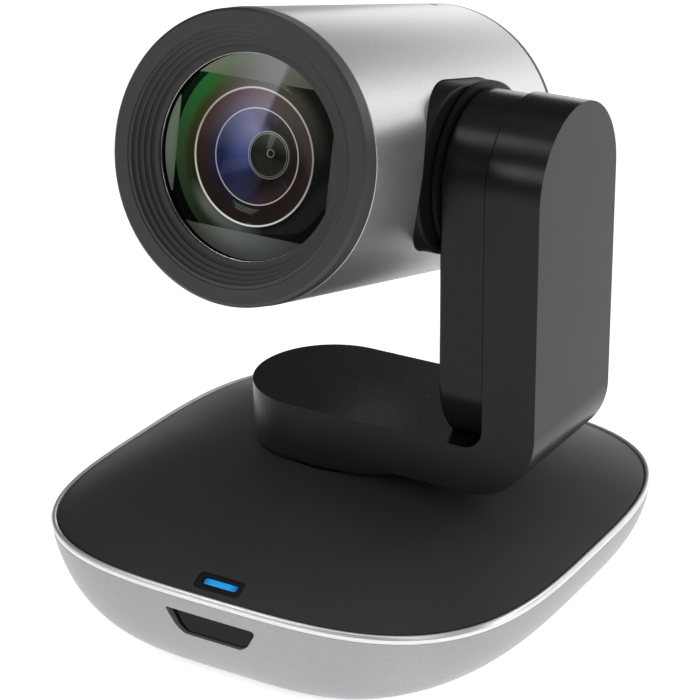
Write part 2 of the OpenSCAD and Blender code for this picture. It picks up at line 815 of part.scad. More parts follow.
module head_screws() {
    b = head_rear;
    color([0.12, 0.12, 0.12]) head_pose() {
        for (i = [0 : 2]) rotate([0, 120 * i + 90, 0]) difference() {
            rod_y(22, 0, 2.2, b - 1.6, b - 0.2);
            translate([22, b - 0.2, 0]) cube([2.4, 1.4, 0.6], center = true);
        }
        translate([0, 32, head_r - 1.9]) cylinder(h = 1.7, r = 1.1);
    }
}

// sliding lens holder: ring with a lug on each rod and one on its screw
module carrier(r_out, r_in, y0, y1, side) {
    difference() {
        union() {
            rod_y(0, 0, r_out, y0, y1);
            for (a = [45, 225, side > 0 ? -45 : 135])
                rotate([0, a, 0]) translate([r_in, y0, -1.6]) cube([16.4 - r_in, y1 - y0, 3.2]);
            for (s = [-1, 1]) rod_y(s * rod_d, -s * rod_d, 2.8, y0, y1);
            rod_y(side * rod_d, side * rod_d, 3, y0, y1);
        }
        rod_y(0, 0, r_in, y0 - 1, y1 + 1);
        for (s = [-1, 1]) rod_y(s * rod_d, -s * rod_d, rod_r + play, y0 - 1, y1 + 1);
        rod_y(side * rod_d, side * rod_d, screw_r + play, y0 - 1, y1 + 1);
    }
}

module zoom_carrier() {
    color([0.12, 0.12, 0.13]) head_pose() carrier(11, 9, -18, -12, 1);
}

module zoom_lens() {
    color([0.4, 0.5, 0.7, 0.5]) head_pose() turned() polygon(concat(
        ball_arc(22.5, 5, -1, 9), flip(ball_arc(22.5, -35, 1, 9))));
}

module zoom_screw() {
    color([0.8, 0.8, 0.82]) head_pose() {
        rod_y(rod_d, rod_d, screw_r, -26.6, 11.4);
        rod_y(rod_d, rod_d, 1, 11.4, 20);
    }
}

module focus_carrier() {
    color([0.12, 0.12, 0.13]) head_pose() {
        carrier(9, 7, 5, 9, -1);
        rod_y(0, 0, 7, 6, 8);
    }
}

module focus_screw() {
    color([0.8, 0.8, 0.82]) head_pose() {
        rod_y(-rod_d, -rod_d, screw_r, -2, 11.4);
        rod_y(-rod_d, -rod_d, 1, 11.4, 20);
    }
}

base_bowl();
rim_trim_ring();
base_top_cover();
base_plate();
rubber_feet();
tripod_insert();
ir_window();
ir_receiver();
led_bezel();
led_light_bar();
front_board();
main_board();
board_chips();
power_jack();
usb_port();
rear_port_frame();
ballast_plate();
pan_motor();
pan_motor_bracket();
pan_bearing_holder();
pan_bushing();
pan_home_sensor();
base_screws();
pan_pinion();
turntable();
pan_shaft();
pan_gear();
arm_frame();
arm_shell();
arm_inner_pod();
tilt_hub_ring();
tilt_bushing();
tilt_motor();
arm_board();
arm_ribbon();
arm_screws();
tilt_pinion();
head_tube();
rear_cap();
front_bezel();
cover_glass();
tilt_saddle();
tilt_shaft();
tilt_gear();
lens_barrel();
front_lens();
block_frame();
guide_rods();
image_sensor();
sensor_board();
head_board();
zoom_motor();
focus_motor();
head_screws();
zoom_carrier();
zoom_lens();
zoom_screw();
focus_carrier();
focus_screw();
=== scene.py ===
"""Studio scene of a motorised pan-tilt-zoom camera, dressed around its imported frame.

Lengths in the classes are millimetres and are turned to metres where a mesh is made. The head's pieces
are drawn level, with the tilt axis at their origin, and carry the head's pose as their object matrix.
"""

import json
import logging
import math
from dataclasses import dataclass, field
from enum import Enum
from typing import Callable, Iterable, Sequence

import bmesh
import bpy
from mathutils import Matrix, Vector

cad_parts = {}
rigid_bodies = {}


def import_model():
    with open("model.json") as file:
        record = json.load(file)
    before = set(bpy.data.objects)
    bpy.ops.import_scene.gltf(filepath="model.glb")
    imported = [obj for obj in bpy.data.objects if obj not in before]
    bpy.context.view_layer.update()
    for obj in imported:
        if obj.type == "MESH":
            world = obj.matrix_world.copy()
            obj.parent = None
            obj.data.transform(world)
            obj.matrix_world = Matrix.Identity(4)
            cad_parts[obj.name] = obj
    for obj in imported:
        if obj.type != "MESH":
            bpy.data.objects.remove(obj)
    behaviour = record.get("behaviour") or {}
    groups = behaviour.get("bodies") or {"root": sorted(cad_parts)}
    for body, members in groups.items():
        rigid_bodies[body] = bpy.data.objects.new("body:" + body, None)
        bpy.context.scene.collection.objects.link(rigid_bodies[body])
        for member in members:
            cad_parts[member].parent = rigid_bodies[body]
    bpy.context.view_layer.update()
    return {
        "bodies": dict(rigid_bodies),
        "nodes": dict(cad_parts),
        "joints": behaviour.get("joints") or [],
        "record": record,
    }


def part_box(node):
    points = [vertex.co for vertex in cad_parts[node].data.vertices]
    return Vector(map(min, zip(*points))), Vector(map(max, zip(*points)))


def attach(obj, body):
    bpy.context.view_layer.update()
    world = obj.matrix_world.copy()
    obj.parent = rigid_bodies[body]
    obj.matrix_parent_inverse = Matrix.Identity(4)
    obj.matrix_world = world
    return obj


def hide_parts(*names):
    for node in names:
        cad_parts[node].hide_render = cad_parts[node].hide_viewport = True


LOG = logging.getLogger("ptz_camera")
MM = 0.001
Point = tuple[float, ...]
Outline = list[Point]
Placer = Callable[[float, float, float], Point]
Share = Callable[[Vector], float]


# ---------------------------------------------------------------- colour and nodes


def linear(code: str) -> tuple[float, float, float, float]:
    """Turns an sRGB hex colour to linear light.

    Args:
        code: Six hex digits after a hash.

    Returns:
        Red, green, blue and an alpha of 1.
    """
    parts = [int(code[i : i + 2], 16) / 255 for i in (1, 3, 5)]
    red, green, blue = (c / 12.92 if c <= 0.04045 else ((c + 0.055) / 1.055) ** 2.4 for c in parts)
    return (red, green, blue, 1.0)


def add_node(
    tree: bpy.types.NodeTree,
    kind: str,
    settings: dict[str | int, object] | None = None,
    links: dict[str | int, bpy.types.NodeSocket] | None = None,
) -> bpy.types.Node:
    """Adds a shader node with its settings and links.

    Args:
        tree: The node tree that takes the node.
        kind: The node's type name.
        settings: Property values by name, socket values by socket name or index, and "stops" for a ramp.
        links: Source sockets by the input that each one feeds.

    Returns:
        The new node.
    """
    node = tree.nodes.new(kind)
    for key, value in (settings or {}).items():
        if key == "stops":
            elements = node.color_ramp.elements
            while len(elements) < len(value):
                elements.new(0.5)
            for element, (place, code) in zip(elements, value):
                element.position = place
                element.color = linear(code)
        elif isinstance(key, str) and hasattr(node, key):
            setattr(node, key, value)
        else:
            node.inputs[key].default_value = value
    for key, source in (links or {}).items():
        tree.links.new(source, node.inputs[key])
    return node


def shader_of(tree: bpy.types.NodeTree) -> bpy.types.Node:
    """Finds a node tree's Principled shader."""
    return next(node for node in tree.nodes if node.type == "BSDF_PRINCIPLED")


def here(tree: bpy.types.NodeTree) -> bpy.types.NodeSocket:
    """Adds the object's own coordinates, in metres."""
    return add_node(tree, "ShaderNodeTexCoord").outputs["Object"]


def noise(
    tree: bpy.types.NodeTree, place: bpy.types.NodeSocket, scale: float, detail: float, rough: float = 0.5
) -> bpy.types.NodeSocket:
    """Adds smooth noise.

    Args:
        tree: The node tree that takes the node.
        place: Where the noise is read.
        scale: Its scale, per metre.
        detail: How many finer layers it has.
        rough: How strong the finer layers are.

    Returns:
        The noise, from 0 to 1.
    """
    settings = {"Scale": scale, "Detail": detail, "Roughness": rough}
    return add_node(tree, "ShaderNodeTexNoise", settings, {"Vector": place}).outputs["Fac"]


def spread(
    tree: bpy.types.NodeTree,
    value: bpy.types.NodeSocket,
    goes: tuple[float, float],
    comes: tuple[float, float] = (0.0, 1.0),
    smooth: bool = False,
) -> bpy.types.NodeSocket:
    """Maps a value from one range to another.

    Args:
        tree: The node tree that takes the node.
        value: The value.
        goes: The range's ends in the result.
        comes: The range's ends in the value.
        smooth: Whether the change eases in and out.

    Returns:
        The mapped value.
    """
    settings = {"From Min": comes[0], "From Max": comes[1], "To Min": goes[0], "To Max": goes[1]}
    if smooth:
        settings["interpolation_type"] = "SMOOTHSTEP"
    return add_node(tree, "ShaderNodeMapRange", settings, {"Value": value}).outputs["Result"]


def blend(
    tree: bpy.types.NodeTree, first: str, last: str, share: bpy.types.NodeSocket
) -> bpy.types.NodeSocket:
    """Blends two hex colours by a share from 0 to 1."""
    colours = {"data_type": "RGBA", 6: linear(first), 7: linear(last)}
    return add_node(tree, "ShaderNodeMix", colours, {0: share}).outputs[2]


def sums(
    tree: bpy.types.NodeTree, operation: str, first: bpy.types.NodeSocket, *others: object
) -> bpy.types.NodeSocket:
    """Adds one arithmetic node.

    Args:
        tree: The node tree that takes the node.
        operation: The arithmetic.
        first: The first value.
        others: Further values, each a socket or a number.

    Returns:
        The result.
    """
    links, settings = {0: first}, {"operation": operation}
    for index, other in enumerate(others, 1):
        (links if isinstance(other, bpy.types.NodeSocket) else settings)[index] = other
    return add_node(tree, "ShaderNodeMath", settings, links).outputs[0]


def surface(
    tree: bpy.types.NodeTree,
    tint: bpy.types.NodeSocket,
    height: bpy.types.NodeSocket,
    strength: float,
    depth_mm: float,
    rough: bpy.types.NodeSocket | None = None,
) -> None:
    """Feeds the shader its colour, relief and roughness.

    Args:
        tree: The material's node tree.
        tint: The colour.
        height: The relief's height, from 0 to 1.
        strength: The relief's strength.
        depth_mm: The relief's depth in millimetres.
        rough: The roughness, where it isn't even.
    """
    relief = {"Strength": strength, "Distance": depth_mm * MM}
    bump = add_node(tree, "ShaderNodeBump", relief, {"Height": height}).outputs["Normal"]
    shader = shader_of(tree)
    tree.links.new(tint, shader.inputs["Base Color"])
    tree.links.new(bump, shader.inputs["Normal"])
    if rough:
        tree.links.new(rough, shader.inputs["Roughness"])


class Slot(Enum):
    """The material slots that the record names."""

    SATIN_SILVER = "satin_silver"
    BRIGHT_TRIM = "bright_trim"
    MATTE_BLACK = "matte_black"
    GLOSS_BLACK = "gloss_black"
    CHARCOAL = "charcoal"
    TUBE_SILVER = "tube_silver"
    CLEAR_GLASS = "clear_glass"
    SMOKED_WINDOW = "smoked_window"
    BLUE_LIGHT = "blue_light"
    CIRCUIT_BOARD = "circuit_board"
    CHIP_BLACK = "chip_black"
    BRASS = "brass"
    RUBBER = "rubber"
    ZINC_STEEL = "zinc_steel"
    BEARING_PLASTIC = "bearing_plastic"
    GEAR_PLASTIC = "gear_plastic"
    RIBBON = "ribbon"


# ---------------------------------------------------------------- finishes


@dataclass(frozen=True)
class Finish:
    """A surface: the real material, how it was made, and the numbers that show it."""

    name: str
    colour: str
    roughness: float
    metallic: float = 0.0
    ior: float = 1.5

    def build(self) -> bpy.types.Material:
        """Makes the material, or returns the one already made under this name."""
        made = bpy.data.materials.get(self.name)
        if made:
            return made
        material = bpy.data.materials.new(self.name)
        material.use_nodes = True
        tree = material.node_tree
        shader = shader_of(tree)
        shader.inputs["Base Color"].default_value = linear(self.colour)
        shader.inputs["Roughness"].default_value = self.roughness
        shader.inputs["Metallic"].default_value = self.metallic
        shader.inputs["IOR"].default_value = self.ior
        self.dress(tree, shader)
        return material

    def dress(self, tree: bpy.types.NodeTree, shader: bpy.types.Node) -> None:
        """Adds what the finish has beyond one colour; a bare finish adds nothing."""


@dataclass(frozen=True)
class MouldedPlastic(Finish):
    """Injection-moulded plastic: a spark-eroded mould leaves a fine even grain, with faint cloudiness.

    The grain spreads the highlight in small specks, and the cloudiness keeps large areas from looking flat.
    """

    grain_mm: float = 0.45
    depth_mm: float = 0.012
    cloud_mm: float = 22.0
    cloud: float = 0.06
    spread: float = 0.05
    specular: float = 0.5

    def dress(self, tree: bpy.types.NodeTree, shader: bpy.types.Node) -> None:
        """Adds cloudy colour, uneven roughness and moulded grain.

        Args:
            tree: The material's node tree.
            shader: Its Principled shader.
        """
        place = here(tree)
        grain = noise(tree, place, 1 / (self.grain_mm * MM), 3.0, 0.6)
        cloud = noise(tree, place, 1 / (self.cloud_mm * MM), 2.0)
        both = add_node(
            tree, "ShaderNodeMix", {"data_type": "FLOAT", 0: 0.35}, {2: cloud, 3: grain}
        ).outputs[0]
        middle = (0.3, 0.7)
        value = spread(tree, both, (1 - self.cloud, 1 + self.cloud), middle)
        tint = add_node(
            tree, "ShaderNodeHueSaturation", {"Color": linear(self.colour)}, {"Value": value}
        ).outputs["Color"]
        rough = spread(tree, both, (self.roughness - self.spread, self.roughness + self.spread), middle)
        surface(tree, tint, grain, 0.6, self.depth_mm, rough)
        shader.inputs["Specular IOR Level"].default_value = self.specular


@dataclass(frozen=True)
class FlakePaint(Finish):
    """Metallic paint: aluminium flake lies at slightly different angles in a clear binder.

    Some flakes turn the light to the eye and some away, so the silver looks finely alive and its
    highlight is broad and soft.
    """

    dark: str = "#8c8c8f"
    flake_mm: float = 0.3
    tilt_mm: float = 0.006
    haze_mm: float = 18.0
    sparkle: float = 0.5

    def dress(self, tree: bpy.types.NodeTree, shader: bpy.types.Node) -> None:
        """Adds flakes of two tones, each with its own tilt; drawn about ten times life size to show.

        Args:
            tree: The material's node tree.
            shader: Its Principled shader.
        """
        place = here(tree)
        flake = add_node(
            tree, "ShaderNodeTexVoronoi", {"Scale": 1 / (self.flake_mm * MM)}, {"Vector": place}
        ).outputs["Color"]
        tone = add_node(tree, "ShaderNodeSeparateColor", {}, {"Color": flake}).outputs["Red"]
        haze = noise(tree, place, 1 / (self.haze_mm * MM), 2.0)
        mixed = add_node(
            tree, "ShaderNodeMix", {"data_type": "FLOAT", 0: self.sparkle}, {2: haze, 3: tone}
        ).outputs[0]
        rough = spread(tree, mixed, (self.roughness - 0.04, self.roughness + 0.04))
        surface(tree, blend(tree, self.dark, self.colour, mixed), tone, 0.35, self.tilt_mm, rough)
        shader.inputs["Coat Weight"].default_value = 0.15
        shader.inputs["Coat Roughness"].default_value = 0.25


@dataclass(frozen=True)
class WorkedMetal(Finish):
    """Metal with tool or rolling marks along one direction, which draw the highlight out into a streak."""

    marks_mm: tuple[float, float, float] = (0.25, 0.25, 6.0)
    worn: str = "#6d6e70"
    depth_mm: float = 0.006

    def dress(self, tree: bpy.types.NodeTree, shader: bpy.types.Node) -> None:
        """Adds the marks as stretched noise in colour, roughness and height.

        Args:
            tree: The material's node tree.
            shader: Its Principled shader.
        """
        scale = tuple(1 / (size * MM) for size in self.marks_mm)
        drawn = add_node(tree, "ShaderNodeMapping", {"Scale": scale}, {"Vector": here(tree)})
        marks = noise(tree, drawn.outputs["Vector"], 1.0, 4.0)
        rough = spread(tree, marks, (self.roughness + 0.1, self.roughness - 0.1))
        surface(tree, blend(tree, self.worn, self.colour, marks), marks, 0.4, self.depth_mm, rough)


@dataclass(frozen=True)
class SolderMask(Finish):
    """Glass-epoxy board under green solder mask: copper tracks show through as slightly lighter lines."""

    track: str = "#2f8a4b"
    pitch_mm: float = 1.6

    def dress(self, tree: bpy.types.NodeTree, shader: bpy.types.Node) -> None:
        """Adds tracks as thin raised cell borders.

        Args:
            tree: The material's node tree.
            shader: Its Principled shader.
        """
        cells = add_node(
            tree,
            "ShaderNodeTexVoronoi",
            {"feature": "DISTANCE_TO_EDGE", "Scale": 1 / (self.pitch_mm * MM)},
            {"Vector": here(tree)},
        ).outputs["Distance"]
        line = spread(tree, cells, (1.0, 0.0), (0.06, 0.1))
        surface(tree, blend(tree, self.colour, self.track, line), line, 0.5, 0.03)


@dataclass(frozen=True)
class LightPipe(Finish):
    """Frosted acrylic over a lamp: light from inside scatters, brightest along the middle of the bar."""

    glow: str = "#1488c8"
    edge: str = "#0a4c94"
    power: float = 0.8
    half_mm: float = 4.5

    def dress(self, tree: bpy.types.NodeTree, shader: bpy.types.Node) -> None:
        """Adds a glow that falls off towards the bar's ends.

        Args:
            tree: The material's node tree.
            shader: Its Principled shader.
        """
        across = add_node(tree, "ShaderNodeSeparateXYZ", {}, {"Vector": here(tree)}).outputs["X"]
        away = sums(tree, "ABSOLUTE", across)
        share = spread(tree, away, (0.0, 1.0), (self.half_mm * MM * 0.55, self.half_mm * MM))
        tint = blend(tree, self.glow, self.edge, share)
        tree.links.new(tint, shader.inputs["Emission Color"])
        tree.links.new(tint, shader.inputs["Base Color"])
        shader.inputs["Emission Strength"].default_value = self.power


@dataclass(frozen=True)
class ClearPane(Finish):
    """Polished optical glass with an anti-reflection coating: it mirrors only a small share of the light.

    A faint violet painted reflection, given as emission, lies on one side of a slanting line and stands in
    for a lit wall mirrored in the pane.
    """

    mirror: str = "#b9c2c4"
    coated_share: float = 0.16
    painted_reflection: str = "#a497b0"
    painted_reflection_power: float = 0.16
    line_slope: float = 0.374
    line_mm: float = -0.336
    fade_mm: float = 17.0

    def dress(self, tree: bpy.types.NodeTree, shader: bpy.types.Node) -> None:
        """Lets light straight through, with a thin mirror and a glowing painted reflection on top.

        Args:
            tree: The material's node tree.
            shader: Its Principled shader.
        """
        out = next(n for n in tree.nodes if n.type == "OUTPUT_MATERIAL")
        fresnel = add_node(tree, "ShaderNodeFresnel", {"IOR": self.ior}).outputs["Fac"]
        weak = sums(tree, "MULTIPLY", fresnel, self.coated_share)
        clear = add_node(tree, "ShaderNodeBsdfTransparent", {"Color": linear(self.colour)}).outputs["BSDF"]
        mirror = add_node(
            tree, "ShaderNodeBsdfGlossy", {"Color": linear(self.mirror), "Roughness": self.roughness}
        ).outputs["BSDF"]
        mixed = add_node(tree, "ShaderNodeMixShader", {}, {0: weak, 1: clear, 2: mirror}).outputs[0]
        # The violet emission added here is a painted reflection of a lit wall, not a lamp.
        light = add_node(
            tree, "ShaderNodeEmission", {"Color": linear(self.painted_reflection)}, {"Strength": self.share(tree)}
        ).outputs[0]
        both = add_node(tree, "ShaderNodeAddShader", {}, {0: mixed, 1: light}).outputs[0]
        tree.nodes.remove(shader)
        tree.links.new(both, out.inputs["Surface"])

    def share(self, tree: bpy.types.NodeTree) -> bpy.types.NodeSocket:
        """Gives the painted reflection's strength over the pane.

        Args:
            tree: The node tree that takes the nodes.

        Returns:
            The strength: full just left of the line, fading away from it and towards the lens's middle.
        """
        axes = add_node(tree, "ShaderNodeSeparateXYZ", {}, {"Vector": here(tree)})
        lean = sums(tree, "MULTIPLY_ADD", axes.outputs["Z"], -self.line_slope, -self.line_mm * MM)
        side = sums(tree, "ADD", axes.outputs["X"], lean)
        left = spread(tree, side, (0.0, 1.0), (0.12 * MM, -0.12 * MM), smooth=True)
        fade = spread(tree, side, (0.0, 1.0), (-self.fade_mm * MM, 0.0), smooth=True)
        above = spread(tree, axes.outputs["Z"], (0.0, 1.0), (0.5 * MM, 12.0 * MM), smooth=True)
        share = sums(tree, "MULTIPLY", sums(tree, "MULTIPLY", left, fade), above)
        return sums(tree, "MULTIPLY", share, self.painted_reflection_power)


@dataclass(frozen=True)
class PaintedReflectionZone(Finish):
    """A ring of a lens with its reflections painted in: an emitted colour stands in for what the coated
    glass mirrors, drifting around the glass.

    Outer and inner stops give the colour around the ring, counted from the right, anticlockwise, in turns.
    The coating kills the plain mirror image, so the glass itself stays black under the painted reflection.
    """

    outer: tuple[tuple[float, str], ...] = ()
    inner: tuple[tuple[float, str], ...] = ()
    outer_mm: float = 20.0
    inner_mm: float = 10.0
    # Strength of the emitted painted reflection.
    glow: float = 1.0
    specular: float = 0.1

    def dress(self, tree: bpy.types.NodeTree, shader: bpy.types.Node) -> None:
        """Adds the two rings of painted reflection colour, blended from the outer radius to the inner one,
        as emission.

        Args:
            tree: The material's node tree.
            shader: Its Principled shader.
        """
        place = here(tree)
        axes = add_node(tree, "ShaderNodeSeparateXYZ", {}, {"Vector": place})
        turn = sums(tree, "ARCTAN2", axes.outputs["Z"], axes.outputs["X"])
        around = sums(tree, "WRAP", sums(tree, "MULTIPLY", turn, 1 / math.tau), 1.0, 0.0)
        flat = add_node(
            tree, "ShaderNodeVectorMath", {"operation": "MULTIPLY", 1: (1.0, 0.0, 1.0)}, {0: place}
        ).outputs[0]
        reach = add_node(tree, "ShaderNodeVectorMath", {"operation": "LENGTH"}, {0: flat}).outputs["Value"]
        ends = (self.outer_mm * MM, self.inner_mm * MM)
        inward = spread(tree, reach, (0.0, 1.0), ends, smooth=True)
        rims = [
            add_node(
                tree, "ShaderNodeValToRGB", {"stops": (*stops, (1.0, stops[0][1]))}, {"Fac": around}
            ).outputs["Color"]
            for stops in (self.outer, self.inner)
        ]
        tint = add_node(
            tree, "ShaderNodeMix", {"data_type": "RGBA"}, {0: inward, 6: rims[0], 7: rims[1]}
        ).outputs[2]
        # The colour glows as emission: a painted reflection, not a lamp.
        tree.links.new(tint, shader.inputs["Emission Color"])
        shader.inputs["Emission Strength"].default_value = self.glow
        shader.inputs["Specular IOR Level"].default_value = self.specular


# Polycarbonate-ABS, spark-eroded: a dark matt shell whose grain softens every reflection.
LID_ABS = MouldedPlastic(
    "pcabs_spark_eroded_black", "#39393c", 0.48, grain_mm=0.4, depth_mm=0.012, specular=0.22
)
# Polycarbonate-ABS, semi-polished mould: black with soft, speckled highlights.
ARM_ABS = MouldedPlastic(
    "pcabs_semi_polished_black", "#151517", 0.27, grain_mm=0.6, depth_mm=0.006, spread=0.03, specular=0.22
)
# Polycarbonate-ABS, fine-etched: a deep, even black without streaks on the saddle and the hub.
SADDLE_ABS = MouldedPlastic(
    "pcabs_fine_etched_black", "#121214", 0.46, grain_mm=0.6, depth_mm=0.004, spread=0.02, specular=0.2
)
# ABS, fine-etched: the charcoal bezel, lighter than the arm and nearly without highlights.
BEZEL_ABS = MouldedPlastic(
    "abs_fine_etched_charcoal", "#383839", 0.42, grain_mm=0.4, depth_mm=0.008, specular=0.4
)
# ABS, etched deep black, for parts that lie in shade.
INNER_ABS = MouldedPlastic("abs_etched_deep_black", "#0c0c0d", 0.42, grain_mm=0.5, specular=0.25)
# Silver flake paint over ABS: satin, light and slightly cool.
BOWL_PAINT = FlakePaint("flake_paint_satin_silver", "#b2b2b4", 0.4, metallic=0.55, dark="#9e9ea1")
# Silver flake paint over the drawn aluminium tube: more metallic than the bowl.
TUBE_PAINT = FlakePaint(
    "flake_paint_drawn_aluminium", "#c8c8ca", 0.33, metallic=0.85, dark="#b4b4b7", sparkle=0.6
)
# Bright nickel-chrome plating, satin: a clean light band.
TRIM_PLATING = WorkedMetal(
    "nickel_chrome_satin_plated",
    "#f6f6f8",
    0.34,
    0.7,
    marks_mm=(3.0, 3.0, 0.4),
    worn="#dededf",
    depth_mm=0.003,
)
# Polished smoked acrylic: a black mirror.
WINDOW_ACRYLIC = MouldedPlastic(
    "acrylic_smoked_polished",
    "#060608",
    0.1,
    ior=1.49,
    grain_mm=1.5,
    depth_mm=0.002,
    spread=0.02,
    specular=0.22,
)
# Frosted acrylic lit from behind.
LIGHT_BAR = LightPipe("acrylic_frosted_blue_lit", "#1c86cf", 0.35, ior=1.49)
# Optical crown glass, polished and coated, with a painted violet reflection glowing on one side.
PANE = ClearPane("crown_glass_coated_pane", "#f2f6f2", 0.01, ior=1.5)
# Ground and blackened glass edge or lens seat: a thin pale line where light catches it.
EDGE_LINE = WorkedMetal(
    "aluminium_turned_bright_edge", "#e9e4e6", 0.22, 1.0, marks_mm=(0.6, 0.6, 0.6), worn="#a8a2a4"
)
# Die-cast aluminium plate, tumbled.
CAST_METAL = WorkedMetal("aluminium_die_cast_tumbled", "#a7a8aa", 0.42, 1.0, marks_mm=(1.2, 1.2, 1.2))
# Steel, zinc-plated and rolled.
ZINC_STEEL = WorkedMetal("steel_zinc_plated_rolled", "#b4b6ba", 0.32, 1.0, marks_mm=(0.4, 6.0, 0.4))
# Brass, turned.
TURNED_BRASS = WorkedMetal(
    "brass_turned", "#cfa85a", 0.28, 1.0, marks_mm=(5.0, 5.0, 0.25), worn="#8f6c30"
)
# Nitrile rubber, moulded matt.
FOOT_RUBBER = MouldedPlastic("nitrile_rubber_moulded_matt", "#1b1b1b", 0.75, grain_mm=0.6, depth_mm=0.03)
# Glass-epoxy board, solder masked.
BOARD = SolderMask("glass_epoxy_solder_masked", "#14502c", 0.35)
# Epoxy package, transfer moulded.
CHIP = MouldedPlastic("epoxy_transfer_moulded", "#1d1d1f", 0.55, grain_mm=0.5)
# Acetal, moulded: milky gears.
GEAR_ACETAL = MouldedPlastic("acetal_moulded_natural", "#ded9cc", 0.35, cloud=0.03)
# Oil-filled acetal, turned: ivory bearings.
BEARING_ACETAL = MouldedPlastic("acetal_oil_filled_turned", "#c9bd9c", 0.4, cloud=0.04)
# Polyester flat cable, laminated.
CABLE = MouldedPlastic("polyester_flat_cable_laminated", "#d8d8cf", 0.4, grain_mm=1.0, cloud_mm=1.0)
# Optical glass, coated blue, for the lens group inside the head.
LENS_BLUE = MouldedPlastic(
    "flint_glass_blue_coated", "#27356a", 0.05, ior=1.62, grain_mm=4.0, depth_mm=0.001, spread=0.01
)

# Mask plate behind the glass, satin grey, with its lighting painted in as emission: grey-green above and at
# the left, neutral grey below.
MASK_PAINTED_LIGHT = PaintedReflectionZone(
    "abs_satin_grey_painted_light",
    "#101110",
    0.45,
    outer=((0.0, "#404040"), (0.1, "#181818"), (0.2, "#6a6a60"), (0.33, "#707a68"), (0.5, "#687068"),
           (0.62, "#383834"), (0.78, "#404040"), (0.9, "#282828")),
    inner=((0.0, "#383838"), (0.22, "#646454"), (0.5, "#4a4e44"), (0.72, "#666666"), (0.9, "#282828")),
    outer_mm=22.0,
    inner_mm=17.6,
    glow=0.9,
    specular=0.4,
)
# Front element, with painted reflections given as emission: green where the glass is steep at the left,
# olive above, black at the right and below.
FRONT_ZONE = PaintedReflectionZone(
    "crown_glass_green_painted_reflection",
    "#050605",
    0.06,
    outer=((0.0, "#0c0c0c"), (0.18, "#181614"), (0.27, "#484c2c"), (0.38, "#286430"), (0.5, "#2e4426"),
           (0.68, "#161a14"), (0.85, "#0a0a0a")),
    inner=((0.0, "#101010"), (0.21, "#4c4840"), (0.33, "#40401e"), (0.57, "#1e1e12"), (0.63, "#5c5c58"),
           (0.73, "#4c4c4c"), (0.79, "#0e0e0e")),
    outer_mm=19.6,
    inner_mm=16.4,
)
# Between the first two rings: painted reflections given as emission, red-brown, with violet towards the
# second ring.
SECOND_ZONE = PaintedReflectionZone(
    "crown_glass_amber_painted_reflection",
    "#060505",
    0.06,
    outer=((0.0, "#2c2020"), (0.2, "#544440"), (0.35, "#402a20"), (0.6, "#221a14"), (0.85, "#241a18")),
    inner=((0.0, "#261a1a"), (0.24, "#584e58"), (0.38, "#3a3044"), (0.6, "#1c182c"), (0.8, "#221814")),
    outer_mm=14.3,
    inner_mm=11.2,
)
# Inside the second ring: painted reflections given as emission, deep blue at the left, paling towards the
# middle, brown-black at the right.
THIRD_ZONE = PaintedReflectionZone(
    "flint_glass_violet_painted_reflection",
    "#050507",
    0.05,
    outer=((0.0, "#1c1412"), (0.18, "#443a38"), (0.32, "#565884"), (0.5, "#202248"), (0.68, "#242446"),
           (0.8, "#382620")),
    inner=((0.0, "#1e1a18"), (0.24, "#36302e"), (0.34, "#6c7094"), (0.5, "#4a508a"), (0.64, "#222440"),
           (0.75, "#1a1010")),
    outer_mm=10.1,
    inner_mm=6.0,
)
# Innermost element: painted reflections given as emission, nearly black with an olive cast.
INNER_ZONE = PaintedReflectionZone(
    "flint_glass_olive_painted_reflection",
    "#050504",
    0.05,
    outer=((0.0, "#1a1612"), (0.25, "#4a4a44"), (0.45, "#221e1e")),
    inner=((0.0, "#16120e"), (0.25, "#2c2a20"), (0.6, "#1e1a16")),
    outer_mm=5.0,
    inner_mm=1.5,
)
# Ground glass edges and seats: thin pale lines whose highlights are painted in as emission, brighter at
# some turns around the ring than at others.
FIRST_SEAT = PaintedReflectionZone(
    "glass_ground_edge_outer",
    "#3a3838",
    0.3,
    outer=((0.0, "#847c7e"), (0.25, "#ccc4c4"), (0.42, "#a49894"), (0.72, "#eee8ea")),
    inner=((0.0, "#8a8284"), (0.5, "#a8a0a0"), (0.75, "#e8e2e4")),
    outer_mm=15.2,
    inner_mm=12.0,
)
SECOND_SEAT = PaintedReflectionZone(
    "glass_ground_edge_middle",
    "#3a3838",
    0.3,
    outer=((0.0, "#aca09c"), (0.25, "#c4c0d0"), (0.5, "#9694b0"), (0.75, "#b6aeb2")),
    inner=((0.0, "#a89c98"), (0.5, "#9694b0")),
    outer_mm=10.7,
    inner_mm=8.0,
)
INNER_SEAT = PaintedReflectionZone(
    "glass_ground_edge_inner",
    "#222222",
    0.3,
    outer=((0.0, "#706a64"), (0.25, "#b2b0aa"), (0.5, "#8c8ea8"), (0.75, "#746e66")),
    inner=((0.0, "#706a64"), (0.5, "#8c8ea8")),
    outer_mm=5.3,
    inner_mm=3.0,
)


# ---------------------------------------------------------------- meshes


def turned_about_y(reach: float, angle: float, along: float) -> Point:
    """Gives the point at a radius and angle about the Y axis, at a distance along it."""
    return (reach * math.cos(angle), along, reach * math.sin(angle))


def turned_about_z(reach: float, angle: float, along: float) -> Point:
    """Gives the point at a radius and angle about the Z axis, at a distance along it."""
    return (reach * math.cos(angle), reach * math.sin(angle), along)


def turned_about_x(reach: float, angle: float, along: float) -> Point:
    """Gives the point at a radius and angle about the X axis, at a distance along it."""
    return (along, reach * math.cos(angle), reach * math.sin(angle))


